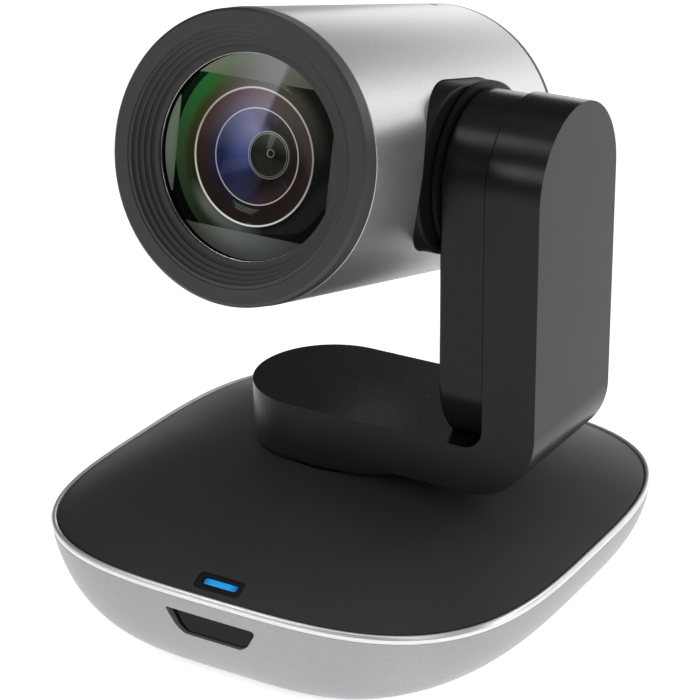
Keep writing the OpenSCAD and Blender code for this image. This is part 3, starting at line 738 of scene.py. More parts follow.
def rounded(corners: Sequence[Point], steps: int = 6, closed: bool = True) -> Outline:
    """Rounds the corners of a flat outline.

    Args:
        corners: Points as (u, v, radius) in order; a radius of 0 keeps the corner sharp.
        steps: Segments in each rounded corner.
        closed: Whether the last point joins the first.

    Returns:
        The outline as (u, v) points.
    """
    made: Outline = []
    count = len(corners)
    for index, (u, v, radius) in enumerate(corners):
        here = Vector((u, v))
        before = Vector(corners[index - 1][:2])
        after = Vector(corners[(index + 1) % count][:2])
        if radius <= 0 or (not closed and index in (0, count - 1)):
            made.append((u, v))
            continue
        back, ahead = (before - here).normalized(), (after - here).normalized()
        half = back.angle(ahead) / 2
        if half > math.pi / 2 - 0.01:
            made.append((u, v))
            continue
        reach = min(
            radius / math.tan(half), 0.49 * (before - here).length, 0.49 * (after - here).length
        )
        size = reach * math.tan(half)
        centre = here + (back + ahead).normalized() * (size / math.sin(half))
        start, stop = here + back * reach - centre, here + ahead * reach - centre
        sweep = start.angle_signed(stop)
        for step in range(steps + 1):
            point = start.copy()
            point.rotate(Matrix.Rotation(-sweep * step / steps, 2))
            made.append(tuple(centre + point))
    return made


def box_outline(
    width: float, height: float, radius: float, centre: Point = (0.0, 0.0), steps: int = 10
) -> Outline:
    """Gives a rounded rectangle's outline.

    Args:
        width: Its size along the first axis.
        height: Its size along the second axis.
        radius: The radius of its corners.
        centre: Its middle.
        steps: Segments in each corner.

    Returns:
        The outline as (u, v) points.
    """
    (u, v), a, b = centre, width / 2, height / 2
    corners = [(-a, -b), (a, -b), (a, b), (-a, b)]
    return rounded([(u + x, v + y, radius) for x, y in corners], steps)


def arc_angles(start: float, stop: float, steps: int) -> list[float]:
    """Gives evenly spaced angles from start to stop, both included."""
    return [start + (stop - start) * step / steps for step in range(steps + 1)]


def arc(radius: float, centre: Point, start: float, stop: float, steps: int) -> Outline:
    """Gives an arc's points.

    Args:
        radius: Its radius.
        centre: Its middle.
        start: The angle where it starts, in radians.
        stop: The angle where it ends.
        steps: Its segments.

    Returns:
        The arc as (u, v) points, both ends included.
    """
    u, v = centre
    return [(u + radius * math.cos(a), v + radius * math.sin(a)) for a in arc_angles(start, stop, steps)]


def stadium(radius: float, low: float, high: float, steps: int = 64, across: float = 0.0) -> Outline:
    """Gives two half circles joined by straight sides along the second axis.

    Args:
        radius: The half circles' radius.
        low: The lower middle's place on the second axis.
        high: The upper middle's place.
        steps: Segments in each half circle.
        across: Both middles' place on the first axis.

    Returns:
        The outline as (u, v) points.
    """
    bottom = arc(radius, (across, low), math.pi, math.tau, steps)
    return bottom + arc(radius, (across, high), 0, math.pi, steps)


def circle(radius: float, centre: Point = (0.0, 0.0), steps: int = 64) -> Outline:
    """Gives a circle's outline."""
    return arc(radius, centre, 0, math.tau, steps)[:-1]


def direction(turn: float, rise: float) -> Vector:
    """Gives the way to look from the object, turned from the front and risen from the floor, in radians."""
    return Vector((math.sin(turn) * math.cos(rise), -math.cos(turn) * math.cos(rise), math.sin(rise)))


class Maker:
    """Makes mesh objects in millimetres at a pose, and shapes them with booleans and bevels."""

    def __init__(self, pose: Matrix | None = None) -> None:
        """Keeps the pose that new objects take."""
        self.pose = pose or Matrix.Identity(4)

    def mesh(self, name: str, points: Sequence[Point], faces: Sequence[Sequence[int]]) -> bpy.types.Object:
        """Makes a closed, outward-facing mesh object.

        Args:
            name: The object's name.
            points: Corner points in millimetres.
            faces: Corner indices of each face.

        Returns:
            The object, linked to the scene at the maker's pose.
        """
        data = bpy.data.meshes.new(name)
        data.from_pydata([tuple(c * MM for c in p) for p in points], [], faces)
        work = bmesh.new()
        work.from_mesh(data)
        bmesh.ops.remove_doubles(work, verts=work.verts, dist=1e-7)
        bmesh.ops.dissolve_degenerate(work, edges=work.edges, dist=1e-8)
        bmesh.ops.recalc_face_normals(work, faces=work.faces)
        work.to_mesh(data)
        work.free()
        thing = bpy.data.objects.new(name, data)
        bpy.context.scene.collection.objects.link(thing)
        thing.matrix_world = self.pose
        return thing

    def loft(self, name: str, rings: Sequence[Sequence[Point]], closed: bool = True) -> bpy.types.Object:
        """Joins rings of equally many points into a band.

        Args:
            name: The object's name.
            rings: The rings, each a closed loop.
            closed: Whether the last ring joins the first; otherwise flat faces close both ends.

        Returns:
            The object.
        """
        count, size = len(rings), len(rings[0])
        points = [point for ring in rings for point in ring]
        faces: list[tuple[int, ...]] = []
        for j in range(count if closed else count - 1):
            low, high = j * size, (j + 1) % count * size
            for i in range(size):
                k = (i + 1) % size
                faces.append((low + i, low + k, high + k, high + i))
        if not closed:
            faces.append(tuple(range(size)))
            faces.append(tuple((count - 1) * size + i for i in reversed(range(size))))
        return self.mesh(name, points, faces)

    def lathe(
        self, name: str, profile: Outline, place: Placer = turned_about_y, steps: int = 256
    ) -> bpy.types.Object:
        """Turns a closed profile of (radius, along) points about an axis.

        Args:
            name: The object's name.
            profile: The closed profile.
            place: Which axis, as a function from radius, angle and distance to a point.
            steps: Segments around.

        Returns:
            The object.
        """
        rings = [[place(r, math.tau * i / steps, along) for i in range(steps)] for r, along in profile]
        return self.loft(name, rings)

    def prism(self, name: str, outline: Outline, axis: str, start: float, stop: float) -> bpy.types.Object:
        """Extrudes an outline along an axis.

        Args:
            name: The object's name.
            outline: Points on the other two axes, in alphabetical order.
            axis: "x", "y" or "z".
            start: Where the extrusion starts.
            stop: Where it ends.

        Returns:
            The object.
        """
        spread = {
            "x": lambda u, v, w: (w, u, v),
            "y": lambda u, v, w: (u, w, v),
            "z": lambda u, v, w: (u, v, w),
        }[axis]
        return self.loft(name, [[spread(u, v, w) for u, v in outline] for w in (start, stop)], closed=False)

    def ring_line(self, name: str, radius: float, along: float, thick: float) -> bpy.types.Object:
        """Makes a thin round ring about the Y axis."""
        return self.lathe(name, circle(thick, (radius, along), 12))

    @staticmethod
    def settle(thing: bpy.types.Object) -> bpy.types.Object:
        """Replaces the object's mesh by what its modifiers make of it.

        Args:
            thing: The object.

        Returns:
            The same object, without modifiers.
        """
        bpy.context.view_layer.update()
        graph = bpy.context.evaluated_depsgraph_get()
        old = thing.data
        thing.data = bpy.data.meshes.new_from_object(thing.evaluated_get(graph))
        thing.data.name = thing.name
        thing.modifiers.clear()
        bpy.data.meshes.remove(old)
        return thing

    def combine(
        self, thing: bpy.types.Object, others: Iterable[bpy.types.Object], operation: str = "DIFFERENCE"
    ) -> bpy.types.Object:
        """Cuts, joins or intersects an object with others, which are used up.

        Args:
            thing: The object that keeps the result.
            others: The objects that shape it.
            operation: The boolean modifier's operation.

        Returns:
            The shaped object.
        """
        used = list(others)
        for other in used:
            shaper = thing.modifiers.new("shape", "BOOLEAN")
            shaper.operation = operation
            shaper.solver = "EXACT"
            shaper.object = other
        self.settle(thing)
        for other in used:
            bpy.data.objects.remove(other)
        return thing

    def soften(
        self,
        thing: bpy.types.Object,
        width: float,
        steps: int = 3,
        share: Share | None = None,
        angle: float = 38.0,
    ) -> bpy.types.Object:
        """Rounds sharp edges and shades the faces between them smoothly.

        Args:
            thing: The object to round.
            width: The rounding's size in millimetres.
            steps: Segments across each rounding.
            share: Gives each sharp edge's share of the width from its middle point in millimetres.
            angle: Edges whose faces meet more sharply than this, in degrees, are rounded.

        Returns:
            The rounded object.
        """
        work = bmesh.new()
        work.from_mesh(thing.data)
        bmesh.ops.remove_doubles(work, verts=work.verts, dist=2e-6)
        bmesh.ops.dissolve_degenerate(work, edges=work.edges, dist=2e-6)
        weight = work.edges.layers.float.get("bevel_weight_edge") or work.edges.layers.float.new(
            "bevel_weight_edge"
        )
        for edge in work.edges:
            if len(edge.link_faces) == 2 and edge.calc_face_angle(0) > math.radians(angle):
                middle = (edge.verts[0].co + edge.verts[1].co) / (2 * MM)
                edge[weight] = share(middle) if share else 1.0
        work.to_mesh(thing.data)
        work.free()
        bevel = thing.modifiers.new("round", "BEVEL")
        bevel.limit_method = "WEIGHT"
        bevel.width = width * MM
        bevel.segments = steps
        bevel.use_clamp_overlap = True
        bevel.miter_outer = "MITER_ARC"
        self.settle(thing)
        return self.shade(thing, 32.0)

    @staticmethod
    def shade(thing: bpy.types.Object, angle: float = 30.0) -> bpy.types.Object:
        """Shades smoothly across flat edges, with flat faces kept flat.

        Args:
            thing: The object.
            angle: Edges sharper than this, in degrees, stay sharp.

        Returns:
            The object.
        """
        thing.data.shade_smooth()
        thing.data.set_sharp_from_angle(angle=math.radians(angle))
        weigh = thing.modifiers.new("weigh", "WEIGHTED_NORMAL")
        weigh.keep_sharp = True
        weigh.weight = 90
        return Maker.settle(thing)


def dress(
    thing: bpy.types.Object,
    finish: Finish,
    body: str,
    slot: Slot,
    replaces: Sequence[str] = (),
) -> bpy.types.Object:
    """Gives a new piece its finish and its body, and hides the frame nodes that it stands for.

    Args:
        thing: The piece.
        finish: Its surface.
        body: The body that it moves with.
        slot: The record's slot for its finish; not used.
        replaces: Names of the frame's nodes that it stands for.

    Returns:
        The piece.
    """
    thing.data.materials.clear()
    thing.data.materials.append(finish.build())
    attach(thing, body)
    if replaces:
        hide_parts(*replaces)
    LOG.info("piece %s on %s, %d faces", thing.name, body, len(thing.data.polygons))
    return thing


def low_high(node: str) -> tuple[Vector, Vector]:
    """Gives a frame node's lowest and highest corners in millimetres."""
    low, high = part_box(node)
    return low / MM, high / MM


# ---------------------------------------------------------------- base


@dataclass
class BaseAssembly:
    """The domed base: a silver bowl, a bright rim and a charcoal lid, with a status light and a window."""

    rim_squareness: float = 3.39
    middle_squareness: float = 2.97
    bottom_squareness: float = 4.77
    lid_squareness: float = 3.35
    lid_power: float = 2.51
    dome_rise: float = 14.0
    bottom_half: tuple[float, float] = (26.5, 52.6)
    wall: float = 2.0
    bowl_end: float = 0.84
    light_y: float = -60.6
    light_tip: float = 27.0
    neck: float = 18.2
    around: int = 288
    maker: Maker = field(default_factory=Maker)

    def __post_init__(self) -> None:
        """Reads the rim's height and half widths from the frame."""
        self.bowl_half = low_high("base_bowl")[1].x + 0.1
        self.bowl_top = low_high("base_bowl")[1].z
        self.rim_z = self.bowl_top + 1.75
        self.lid_half = low_high("base_top_cover")[1].x
        self.hole = self.neck + 0.35

    def build(self) -> None:
        """Builds every new piece of the base."""
        self.bowl()
        self.trim()
        self.lid()
        self.window()
        self.status_light()

    def ring(self, half_x: float, half_y: float, squareness: float, height: float) -> Outline:
        """Gives one rounded-square loop.

        Args:
            half_x: Half its width.
            half_y: Half its depth.
            squareness: 2 for an ellipse, more for squarer corners.
            height: Its height.

        Returns:
            The loop's points.
        """
        made: Outline = []
        for i in range(self.around):
            turn = math.tau * i / self.around
            c, s = math.cos(turn), math.sin(turn)
            reach = (abs(c / half_x) ** squareness + abs(s / half_y) ** squareness) ** (-1 / squareness)
            made.append((reach * c, reach * s, height))
        return made

    @staticmethod
    def bend(first: float, middle: float, last: float, t: float) -> float:
        """Gives a quadratic curve's value at t."""
        return (1 - t) ** 2 * first + 2 * t * (1 - t) * middle + t * t * last

    def bowl_loop(self, t: float, inset: float) -> Outline:
        """Gives one of the bowl's loops.

        Args:
            t: From 0 at the rim to 1 at the floor.
            inset: How far the loop is moved in.

        Returns:
            The loop's points.
        """
        half = [
            self.bend(self.bowl_half - 0.1, foot + 0.95 * (self.bowl_half - foot), foot, t) - inset
            for foot in self.bottom_half
        ]
        square = self.bend(self.rim_squareness, self.middle_squareness, self.bottom_squareness, t)
        height = self.bend(self.bowl_top, 0.06 * self.rim_z, 0, t) + inset * t * t
        return self.ring(half[0], half[1], square, height)

    def window_outline(self, gap: float) -> Outline:
        """Gives the front window's rounded trapezium.

        Args:
            gap: How far it is moved in.

        Returns:
            The outline as (x, z) points.
        """
        return rounded(
            [
                (-12.5 + gap, 19.5 - gap, 0.4),
                (-9.6 + gap, 14.6, 3.0),
                (-7.6 + gap, 13.2 + gap, 1.6),
                (7.6 - gap, 13.2 + gap, 1.6),
                (9.6 - gap, 14.6, 3.0),
                (12.5 - gap, 19.5 - gap, 0.9),
            ],
            8,
        )

    def bowl(self) -> None:
        """Builds the bowl as a shell, with the window and the rear opening cut through its wall."""
        make = self.maker
        outer = [self.bowl_loop(self.bowl_end * i / 44, 0) for i in range(45)]
        inner = [self.bowl_loop(self.bowl_end * i / 22, self.wall) for i in range(22, -1, -1)]
        shell = make.loft("bowl_shell", outer + inner)
        cutters = [
            make.prism("cut_window", self.window_outline(0), "y", -80, -50),
            make.prism("cut_rear", box_outline(44, 11, 2, (0, 15)), "y", 50, 80),
        ]
        make.combine(shell, cutters)

        def share(middle: Vector) -> float:
            """Rounds the cut edges and the lip, which starts sharp at the rim."""
            return 0.0 if middle.z > self.bowl_top - 0.1 else 1.0

        make.soften(shell, 0.3, 2, share)
        dress(shell, BOWL_PAINT, "base", Slot.SATIN_SILVER, ["base_bowl"])

    def trim(self) -> None:
        """Builds the bright rim: a rounded band with a fine step above the bowl."""
        half, out, top = self.lid_half, self.bowl_half, self.rim_z
        profile = rounded(
            [
                (half + 0.25, top + 0.05, 0.2),
                (half + 0.7, top + 0.34, 0.5),
                (out - 0.15, top + 0.08, 0.7),
                (out + 0.1, top - 0.62, 0.5),
                (out - 0.02, top - 1.32, 0.1),
                (out - 0.16, top - 1.4, 0.1),
                (out - 0.16, self.bowl_top + 0.02, 0.05),
                (out - 1.8, self.bowl_top + 0.02, 0.1),
                (half - 0.1, top - 1.2, 0.1),
            ],
            6,
        )
        rings = [self.ring(r, r, self.rim_squareness, z) for r, z in profile]
        band = self.maker.loft("rim_band", rings)
        dress(self.maker.shade(band, 40), TRIM_PLATING, "base", Slot.BRIGHT_TRIM, ["rim_trim_ring"])

    def lid_height(self, share: float) -> float:
        """Gives the lid's height at a share of its half width."""
        return self.rim_z + self.dome_rise * (1 - share**self.lid_power)

    def lid_reach(self, share: float, turn: float) -> float:
        """Gives the lid's radius in one direction.

        Args:
            share: The loop's size as a share of the lid's half width.
            turn: The direction, in radians.

        Returns:
            The radius in millimetres.
        """
        square = 2 + (self.lid_squareness - 2) * share
        half = self.lid_half * share
        across, along = abs(math.cos(turn) / half), abs(math.sin(turn) / half)
        return (across**square + along**square) ** (-1 / square)

    def lid_rings(self, shares: Sequence[float], drop: float, hole: float) -> list[Outline]:
        """Gives the lid's loops from its edge to the round hole.

        Args:
            shares: Where each loop lies, from 0 at the hole to 1 at the edge.
            drop: How far the loops are below the lid's surface.
            hole: The hole's radius.

        Returns:
            One loop for each share.
        """
        starts = []
        for i in range(self.around):
            turn, low, high = math.tau * i / self.around, 0.2, 0.7
            for _ in range(40):
                middle = (low + high) / 2
                low, high = (middle, high) if self.lid_reach(middle, turn) < hole else (low, middle)
            starts.append(low)
        rings = []
        for share in shares:
            ring: Outline = []
            for i, start in enumerate(starts):
                turn, size = math.tau * i / self.around, start + (1 - start) * share
                reach = self.lid_reach(size, turn)
                height = self.lid_height(size) - drop
                ring.append((reach * math.cos(turn), reach * math.sin(turn), height))
            rings.append(ring)
        return rings

    def lid(self) -> None:
        """Builds the domed lid with its round hole for the turntable and the slot for the light."""
        make = self.maker
        steps = [1 - i / 56 for i in range(57)]
        top = self.lid_rings(steps, 0.0, self.hole + 0.25)
        top[0] = [(x * 0.9985, y * 0.9985, z - 0.03) for x, y, z in top[0]]
        round_edge = [
            [(x * k, y * k, z - d) for x, y, z in top[-1]] for k, d in ((0.9945, 0.1), (0.992, 0.28))
        ]
        under = self.lid_rings(steps[::-4], 1.8, self.hole)
        foot = [
            self.ring(self.lid_half - 1.4, self.lid_half - 1.4, self.lid_squareness, self.rim_z - 0.9),
            self.ring(self.lid_half - 0.2, self.lid_half - 0.2, self.lid_squareness, self.rim_z - 0.5),
        ]
        under[-1] = [(x * 0.985, y * 0.985, z) for x, y, z in under[-1]]
        cover = make.loft("lid_dome", top + round_edge + under + foot)
        slot = Maker(self.light_pose()).prism("cut_light", box_outline(12.4, 4.6, 1.1), "z", -6, 6)
        make.combine(cover, [slot])
        make.shade(cover, 34)
        dress(cover, LID_ABS, "base", Slot.MATTE_BLACK, ["base_top_cover"])

    def light_pose(self) -> Matrix:
        """Gives the status light's place on the lid's front slope."""
        y = self.light_y
        place = Vector((0, y, self.lid_height(-y / self.lid_half))) * MM
        return Matrix.Translation(place) @ Matrix.Rotation(math.radians(self.light_tip), 4, "X")

    def window(self) -> None:
        """Builds the receiver's polished window and its flange behind the wall."""
        make = self.maker
        front = low_high("ir_window")[0].y
        pane = make.prism("receiver_window", self.window_outline(0.08), "y", front, front + 1.8)
        flange = make.prism("flange", box_outline(28, 9.4, 1.5, (0, 16.3)), "y", front + 1.79, front + 2.8)
        make.combine(pane, [flange], "UNION")
        make.soften(pane, 0.2, 2)
        dress(pane, WINDOW_ACRYLIC, "base", Slot.SMOKED_WINDOW, ["ir_window"])

    def status_light(self) -> None:
        """Builds the light's black bezel and the lit bar inside."""
        make = Maker(self.light_pose())
        bezel = make.prism("light_bezel", box_outline(12.2, 4.4, 1.0), "z", -2.6, -0.2)
        make.combine(bezel, [make.prism("cut_bar", box_outline(9.3, 2.0, 0.6, (0, 0.35)), "z", -4, 3)])
        make.soften(bezel, 0.2, 2)
        dress(bezel, INNER_ABS, "base", Slot.GLOSS_BLACK, ["led_bezel"])
        bar = make.prism("light_bar", box_outline(9.0, 1.7, 0.5, (0, 0.35)), "z", -6.5, -0.5)
        make.soften(bar, 0.25, 3)
        dress(bar, LIGHT_BAR, "base", Slot.BLUE_LIGHT, ["led_light_bar"])


# ---------------------------------------------------------------- arm


@dataclass
class ArmAssembly:
    """The L-shaped arm on its turntable: a low limb, an upright, and a pod that carries the tilt axis."""

    corner: float = 17.2
    inside: float = 5.0
    seam: float = 45.0
    limb_x: float = -6.35
    limb_top: float = 53.45
    pod_low: float = 67.5
    wall: float = 2.0
    edge: float = 1.0
    neck: float = 18.2
    skirt: float = 39.1
    groove: float = 0.4
    opening: float = 9.0
    screw_step: float = 9.2
    screw_hole: float = 1.25
    maker: Maker = field(default_factory=Maker)

    def __post_init__(self) -> None:
        """Reads the arm's box from the frame."""
        low, high = low_high("arm_shell")
        self.half, self.outer, self.bottom = high.y, high.x, low.z
        self.axis = high.z - high.y
        pod = low_high("arm_inner_pod")
        self.pod_x, self.pod_half = pod[0].x, pod[1].y

    def build(self) -> None:
        """Builds every new piece of the arm."""
        self.shell()
        self.pod()
        self.turntable()
        self.hub()

    def side(self, inset: float) -> Outline:
        """Gives the arm's outline from the front.

        Args:
            inset: How far it is moved in.

        Returns:
            The outline as (x, z) points.
        """
        left, right = self.limb_x - self.half + inset, self.outer - inset
        low, step = self.bottom + inset, self.limb_top - inset
        bend = self.corner - inset
        centre = (self.outer - self.corner, self.bottom + self.corner)
        made: Outline = [(left, low)]
        made += arc(bend, centre, -math.pi / 2, 0, 40)
        made += [(right, 170.0), (self.seam + inset, 170.0)]
        turn = self.inside + inset
        middle = (self.seam - self.inside, self.limb_top + self.inside)
        made += arc(turn, middle, 0, -math.pi / 2, 16)
        made.append((left, step))
        return made

    def form(self, name: str, inset: float) -> bpy.types.Object:
        """Makes the arm's solid form, moved in by inset, from its three outlines.

        Args:
            name: The object's name.
            inset: How far the surface is moved in.

        Returns:
            The solid.
        """
        make, half = self.maker, self.half - inset
        solid = make.prism(name, self.side(inset), "y", -half - 2, half + 2)
        front = [(half, 0.0), *arc(half, (0, self.axis), 0, math.pi, 96), (-half, 0.0)]
        plan = arc(half, (self.limb_x, 0), math.pi / 2, 3 * math.pi / 2, 96)
        plan = [*plan, (90.0, -half), (90.0, half)]
        others = [make.prism("form_front", front, "x", -60, 90), make.prism("form_plan", plan, "z", 0, 180)]
        return make.combine(solid, others, "INTERSECT")

    def pod_solid(
        self, name: str, radius: float, start: float, stop: float, floor: float
    ) -> bpy.types.Object:
        """Makes the pod's long rounded form, cut off flat at the floor.

        Args:
            name: The object's name.
            radius: Half its depth.
            start: Where it starts across.
            stop: Where it ends across.
            floor: The height where it is cut off.

        Returns:
            The solid.
        """
        make = self.maker
        solid = make.prism(name, stadium(radius, self.pod_low, self.axis), "x", start, stop)
        box = make.prism("pod_box", box_outline(90, 60, 0, (0, 0)), "z", floor, 200)
        box.location.x = (start + stop) / 2 * MM
        return make.combine(solid, [box], "INTERSECT")

    def shell(self) -> None:
        """Builds the hollow outer shell, open to the pod, the shaft, the cable and the screws."""
        make, seam = self.maker, self.seam
        shell = self.form("arm_body", 0)

        def share(middle: Vector) -> float:
            """Keeps the rounding fine along the seam with the pod."""
            return 0.3 if abs(middle.x - seam) < 0.05 and middle.z > self.limb_top + self.inside else 1.0

        make.soften(shell, self.edge, 4, share)
        cutters = [
            self.form("arm_hollow", self.wall),
            self.pod_solid("pod_hole", self.pod_half - self.wall, seam - 1, seam + self.wall + 0.3, 56),
            make.prism("cable_hole", box_outline(9.6, 17.6, 0, (39.7, 0)), "z", self.limb_top - 2.3, 56),
            *self.floor_holes(self.bottom - 1, self.bottom - 1, self.bottom + 3),
        ]
        make.combine(shell, cutters)
        make.shade(shell, 34)
        dress(shell, ARM_ABS, "arm", Slot.GLOSS_BLACK, ["arm_shell"])

    def floor_holes(self, start: float, screws: float, stop: float) -> list[bpy.types.Object]:
        """Makes the cutters for the shaft and its four screws.

        Args:
            start: The height where the shaft's hole starts.
            screws: The height where the screws' holes start.
            stop: The height where all of them end.

        Returns:
            The cutters.
        """
        cutters = [self.maker.prism("shaft_hole", circle(self.opening), "z", start, stop)]
        for x in (-self.screw_step, self.screw_step):
            for y in (-self.screw_step, self.screw_step):
                hole = circle(self.screw_hole, (x, y), 24)
                cutters.append(self.maker.prism("screw_hole", hole, "z", screws, stop))
        return cutters

    def pod(self) -> None:
        """Builds the inner pod with its hollow and the hole for the tilt bearing."""
        make, seam, half, x = self.maker, self.seam, self.pod_half, self.pod_x
        pod = self.pod_solid("arm_pod", half, x, seam - self.groove, self.limb_top)

        def share(middle: Vector) -> float:
            """Rounds the face towards the head most, and leaves the foot sharp where it meets the limb."""
            rounding = 1.0 if middle.x < seam - 1 else 0.3
            return rounding if middle.z > self.limb_top + 0.05 else 0.0

        make.soften(pod, self.edge, 4, share)
        neck = self.pod_solid("pod_neck", half - 1.5 * self.groove, seam - 1.5, seam, self.limb_top)
        make.combine(pod, [neck], "UNION")
        cutters = [
            self.pod_solid("pod_hollow", half - self.wall, x + self.wall, seam + 1, self.limb_top - 1),
            make.prism("bearing_hole", circle(self.opening, (0, self.axis)), "x", x - 1, x + self.wall + 1),
        ]
        make.combine(pod, cutters)
        make.shade(pod, 34)
        dress(pod, ARM_ABS, "arm", Slot.GLOSS_BLACK, ["arm_inner_pod"])

    def turntable(self) -> None:
        """Builds the turntable: a neck in the lid's hole and the skirt that the limb stands on."""
        make = self.maker
        low, high = low_high("turntable")
        hole, neck, plate = self.opening, self.neck, self.skirt
        profile = rounded([(hole, low.z, 0), (neck, low.z, 0.3), (neck, plate, 0.3), (hole, plate, 0)], 5)
        table = make.lathe("turntable_disc", profile, turned_about_z)
        outline = [(y, -x) for x, y in stadium(high.y, self.limb_x, -self.limb_x)]
        foot = make.prism("skirt", outline, "z", plate - 0.05, high.z)
        make.combine(table, [foot], "UNION")
        make.combine(table, self.floor_holes(low.z - 2, low.z + 2.6, high.z + 2))
        make.shade(table, 34)
        dress(table, INNER_ABS, "arm", Slot.MATTE_BLACK, ["turntable"])

    def hub(self) -> None:
        """Builds the raised hub ring between the pod and the head."""
        low, high = low_high("tilt_hub_ring")
        hole, reach = self.opening, high.y
        profile = rounded(
            [(hole, low.x, 0.1), (reach, low.x, 0.35), (reach, high.x, 0), (hole, high.x, 0)], 5
        )
        make = Maker(Matrix.Translation((0, 0, self.axis * MM)))
        ring = make.lathe("hub_ring", profile, turned_about_x, 192)
        dress(make.shade(ring, 34), SADDLE_ABS, "arm", Slot.GLOSS_BLACK, ["tilt_hub_ring"])


# ---------------------------------------------------------------- head


@dataclass
class HeadAssembly:
    """The tilting head: a silver tube, a ribbed bezel, the lens behind its cover glass, and a rear cap."""

    rest_tilt: float = 13.1
    front: float = -50.4
    rear: float = 42.7
    radius: float = 32.5
    glass: float = 23.2
    ribs: int = 4
    rib_step: float = 0.95
    rib_rise: float = 1.05
    saddle: tuple[float, float] = (50.6, 38.8)
    saddle_round: float = 18.0
    saddle_x: float = 31.7

    def __post_init__(self) -> None:
        """Takes the tilt axis from the frame and sets the head's pose on it."""
        axis = low_high("arm_shell")[1]
        height = (axis.z - axis.y) * MM
        tip = Matrix.Rotation(math.radians(-self.rest_tilt), 4, "X")
        self.make = Maker(Matrix.Translation((0, 0, height)) @ tip)

    def build(self) -> None:
        """Builds every new piece of the head."""
        self.tube()
        self.bezel()
        self.cap()
        self.saddle_block()
        self.optics()

    def tube(self) -> None:
        """Builds the drawn tube with its side opening for the saddle and one small screw hole on top."""
        make, r = self.make, self.radius
        start, stop = self.front + 4.3, self.rear - 2.5
        profile = rounded(
            [(r - 1.8, start, 0.1), (r, start, 0.25), (r, stop, 0.25), (r - 1.8, stop, 0.1)], 5
        )
        tube = make.lathe("head_shell", profile, steps=384)
        width, height = (size + 0.3 for size in self.saddle)
        opening = box_outline(width, height, self.saddle_round, steps=32)
        cutters = [
            make.prism("opening", opening, "x", 15, 40),
            make.prism("screw_hole", circle(1.2, (0, 32), 32), "z", 25, 40),
        ]
        make.combine(tube, cutters)
        make.shade(tube, 34)
        dress(tube, TUBE_PAINT, "head", Slot.TUBE_SILVER, ["head_tube"])

    def bezel(self) -> None:
        """Builds the bezel: a flat face, a ribbed funnel down to the glass, and a dark side band."""
        f, r = self.front, self.radius
        inner = self.glass + 1.3
        ribs: list[Point] = []
        for i in range(self.ribs):
            reach, level = inner + self.rib_step * i, f + 4.2 - self.rib_rise * i
            ribs += [(reach, level, 0.12), (reach, level - self.rib_rise, 0.16)]
        last = inner + self.rib_step * self.ribs
        profile = rounded(
            [
                (r - 0.9, f, 0.25),
                (r - 0.2, f + 0.7, 0.3),
                (r - 0.05, f + 4.3, 0.1),
                (r - 1.85, f + 4.3, 0.1),
                (r - 1.85, f + 8.4, 0.2),
                (29.2, f + 8.4, 0.2),
                (29.2, f + 6.4, 0.2),
                (self.glass, f + 6.4, 0.1),
                (self.glass, f + 5.05, 0.05),
                (self.glass - 0.4, f + 5.05, 0.05),
                (self.glass - 0.4, f + 4.2, 0.12),
                *ribs,
                (last, f + 0.35, 0.1),
                (last, f, 0.16),
            ],
            4,
        )
        ring = self.make.lathe("bezel_ring", profile)
        dress(self.make.shade(ring, 30), BEZEL_ABS, "head", Slot.CHARCOAL, ["front_bezel"])

    def cap(self) -> None:
        """Builds the rear cap with its vents, three screw recesses and the rim that enters the tube."""
        make, b, r = self.make, self.rear, self.radius
        profile = rounded(
            [
                (0, b - 2.5, 0),
                (28.8, b - 2.5, 0),
                (28.8, b - 8, 0.3),
                (30.65, b - 8, 0.3),
                (30.65, b - 2.5, 0),
                (r, b - 2.5, 0.1),
                (r, b - 0.95, 0.9),
                (r - 1.6, b, 0.9),
                (0, b, 0),
            ],
            6,
        )
        cap = make.lathe("rear_cover", profile)
        posts, cuts = [], []
        for i in range(3):
            turn = math.radians(120 * i)
            place = (22 * math.cos(turn), 22 * math.sin(turn))
            posts.append(make.prism("post", circle(2.6, place, 32), "y", 31.6, b - 2))
            cuts.append(make.prism("recess", circle(2.3, place, 40), "y", b - 1.6, b + 1))
        for i in range(-5, 6):
            cuts.append(make.prism("vent", stadium(0.6, -9.4, 9.4, 12, i * 3.0), "y", b - 4, b + 1))
        make.combine(cap, posts, "UNION")
        make.combine(cap, cuts)
        make.shade(cap, 34)
        dress(cap, ARM_ABS, "head", Slot.GLOSS_BLACK, ["rear_cap"])

    def saddle_block(self) -> None:
        """Builds the saddle that joins the tube to the tilt shaft, with rounded edges on its outer face."""
        make = self.make
        width, height = self.saddle
        outline = box_outline(width, height, self.saddle_round, steps=32)
        block = make.prism("saddle_block", outline, "x", 21, self.saddle_x)

        def share(point: Vector) -> float:
            """Rounds the outer face's edge and leaves the hidden side sharp."""
            return 1.0 if point.x > 30 else 0.0

        make.soften(block, 0.9, 4, share)
        cuts = [make.prism("shaft", circle(6.0), "x", 15, 40)]
        cuts += [
            make.prism("pocket", box_outline(9, 26, 1, (-17, 0)), "x", 15, 27),
            make.prism("pocket", box_outline(7, 26, 1, (15.5, 0)), "x", 15, 27),
        ]
        make.combine(block, cuts)
        make.shade(block, 34)
        dress(block, SADDLE_ABS, "head", Slot.MATTE_BLACK, ["tilt_saddle"])

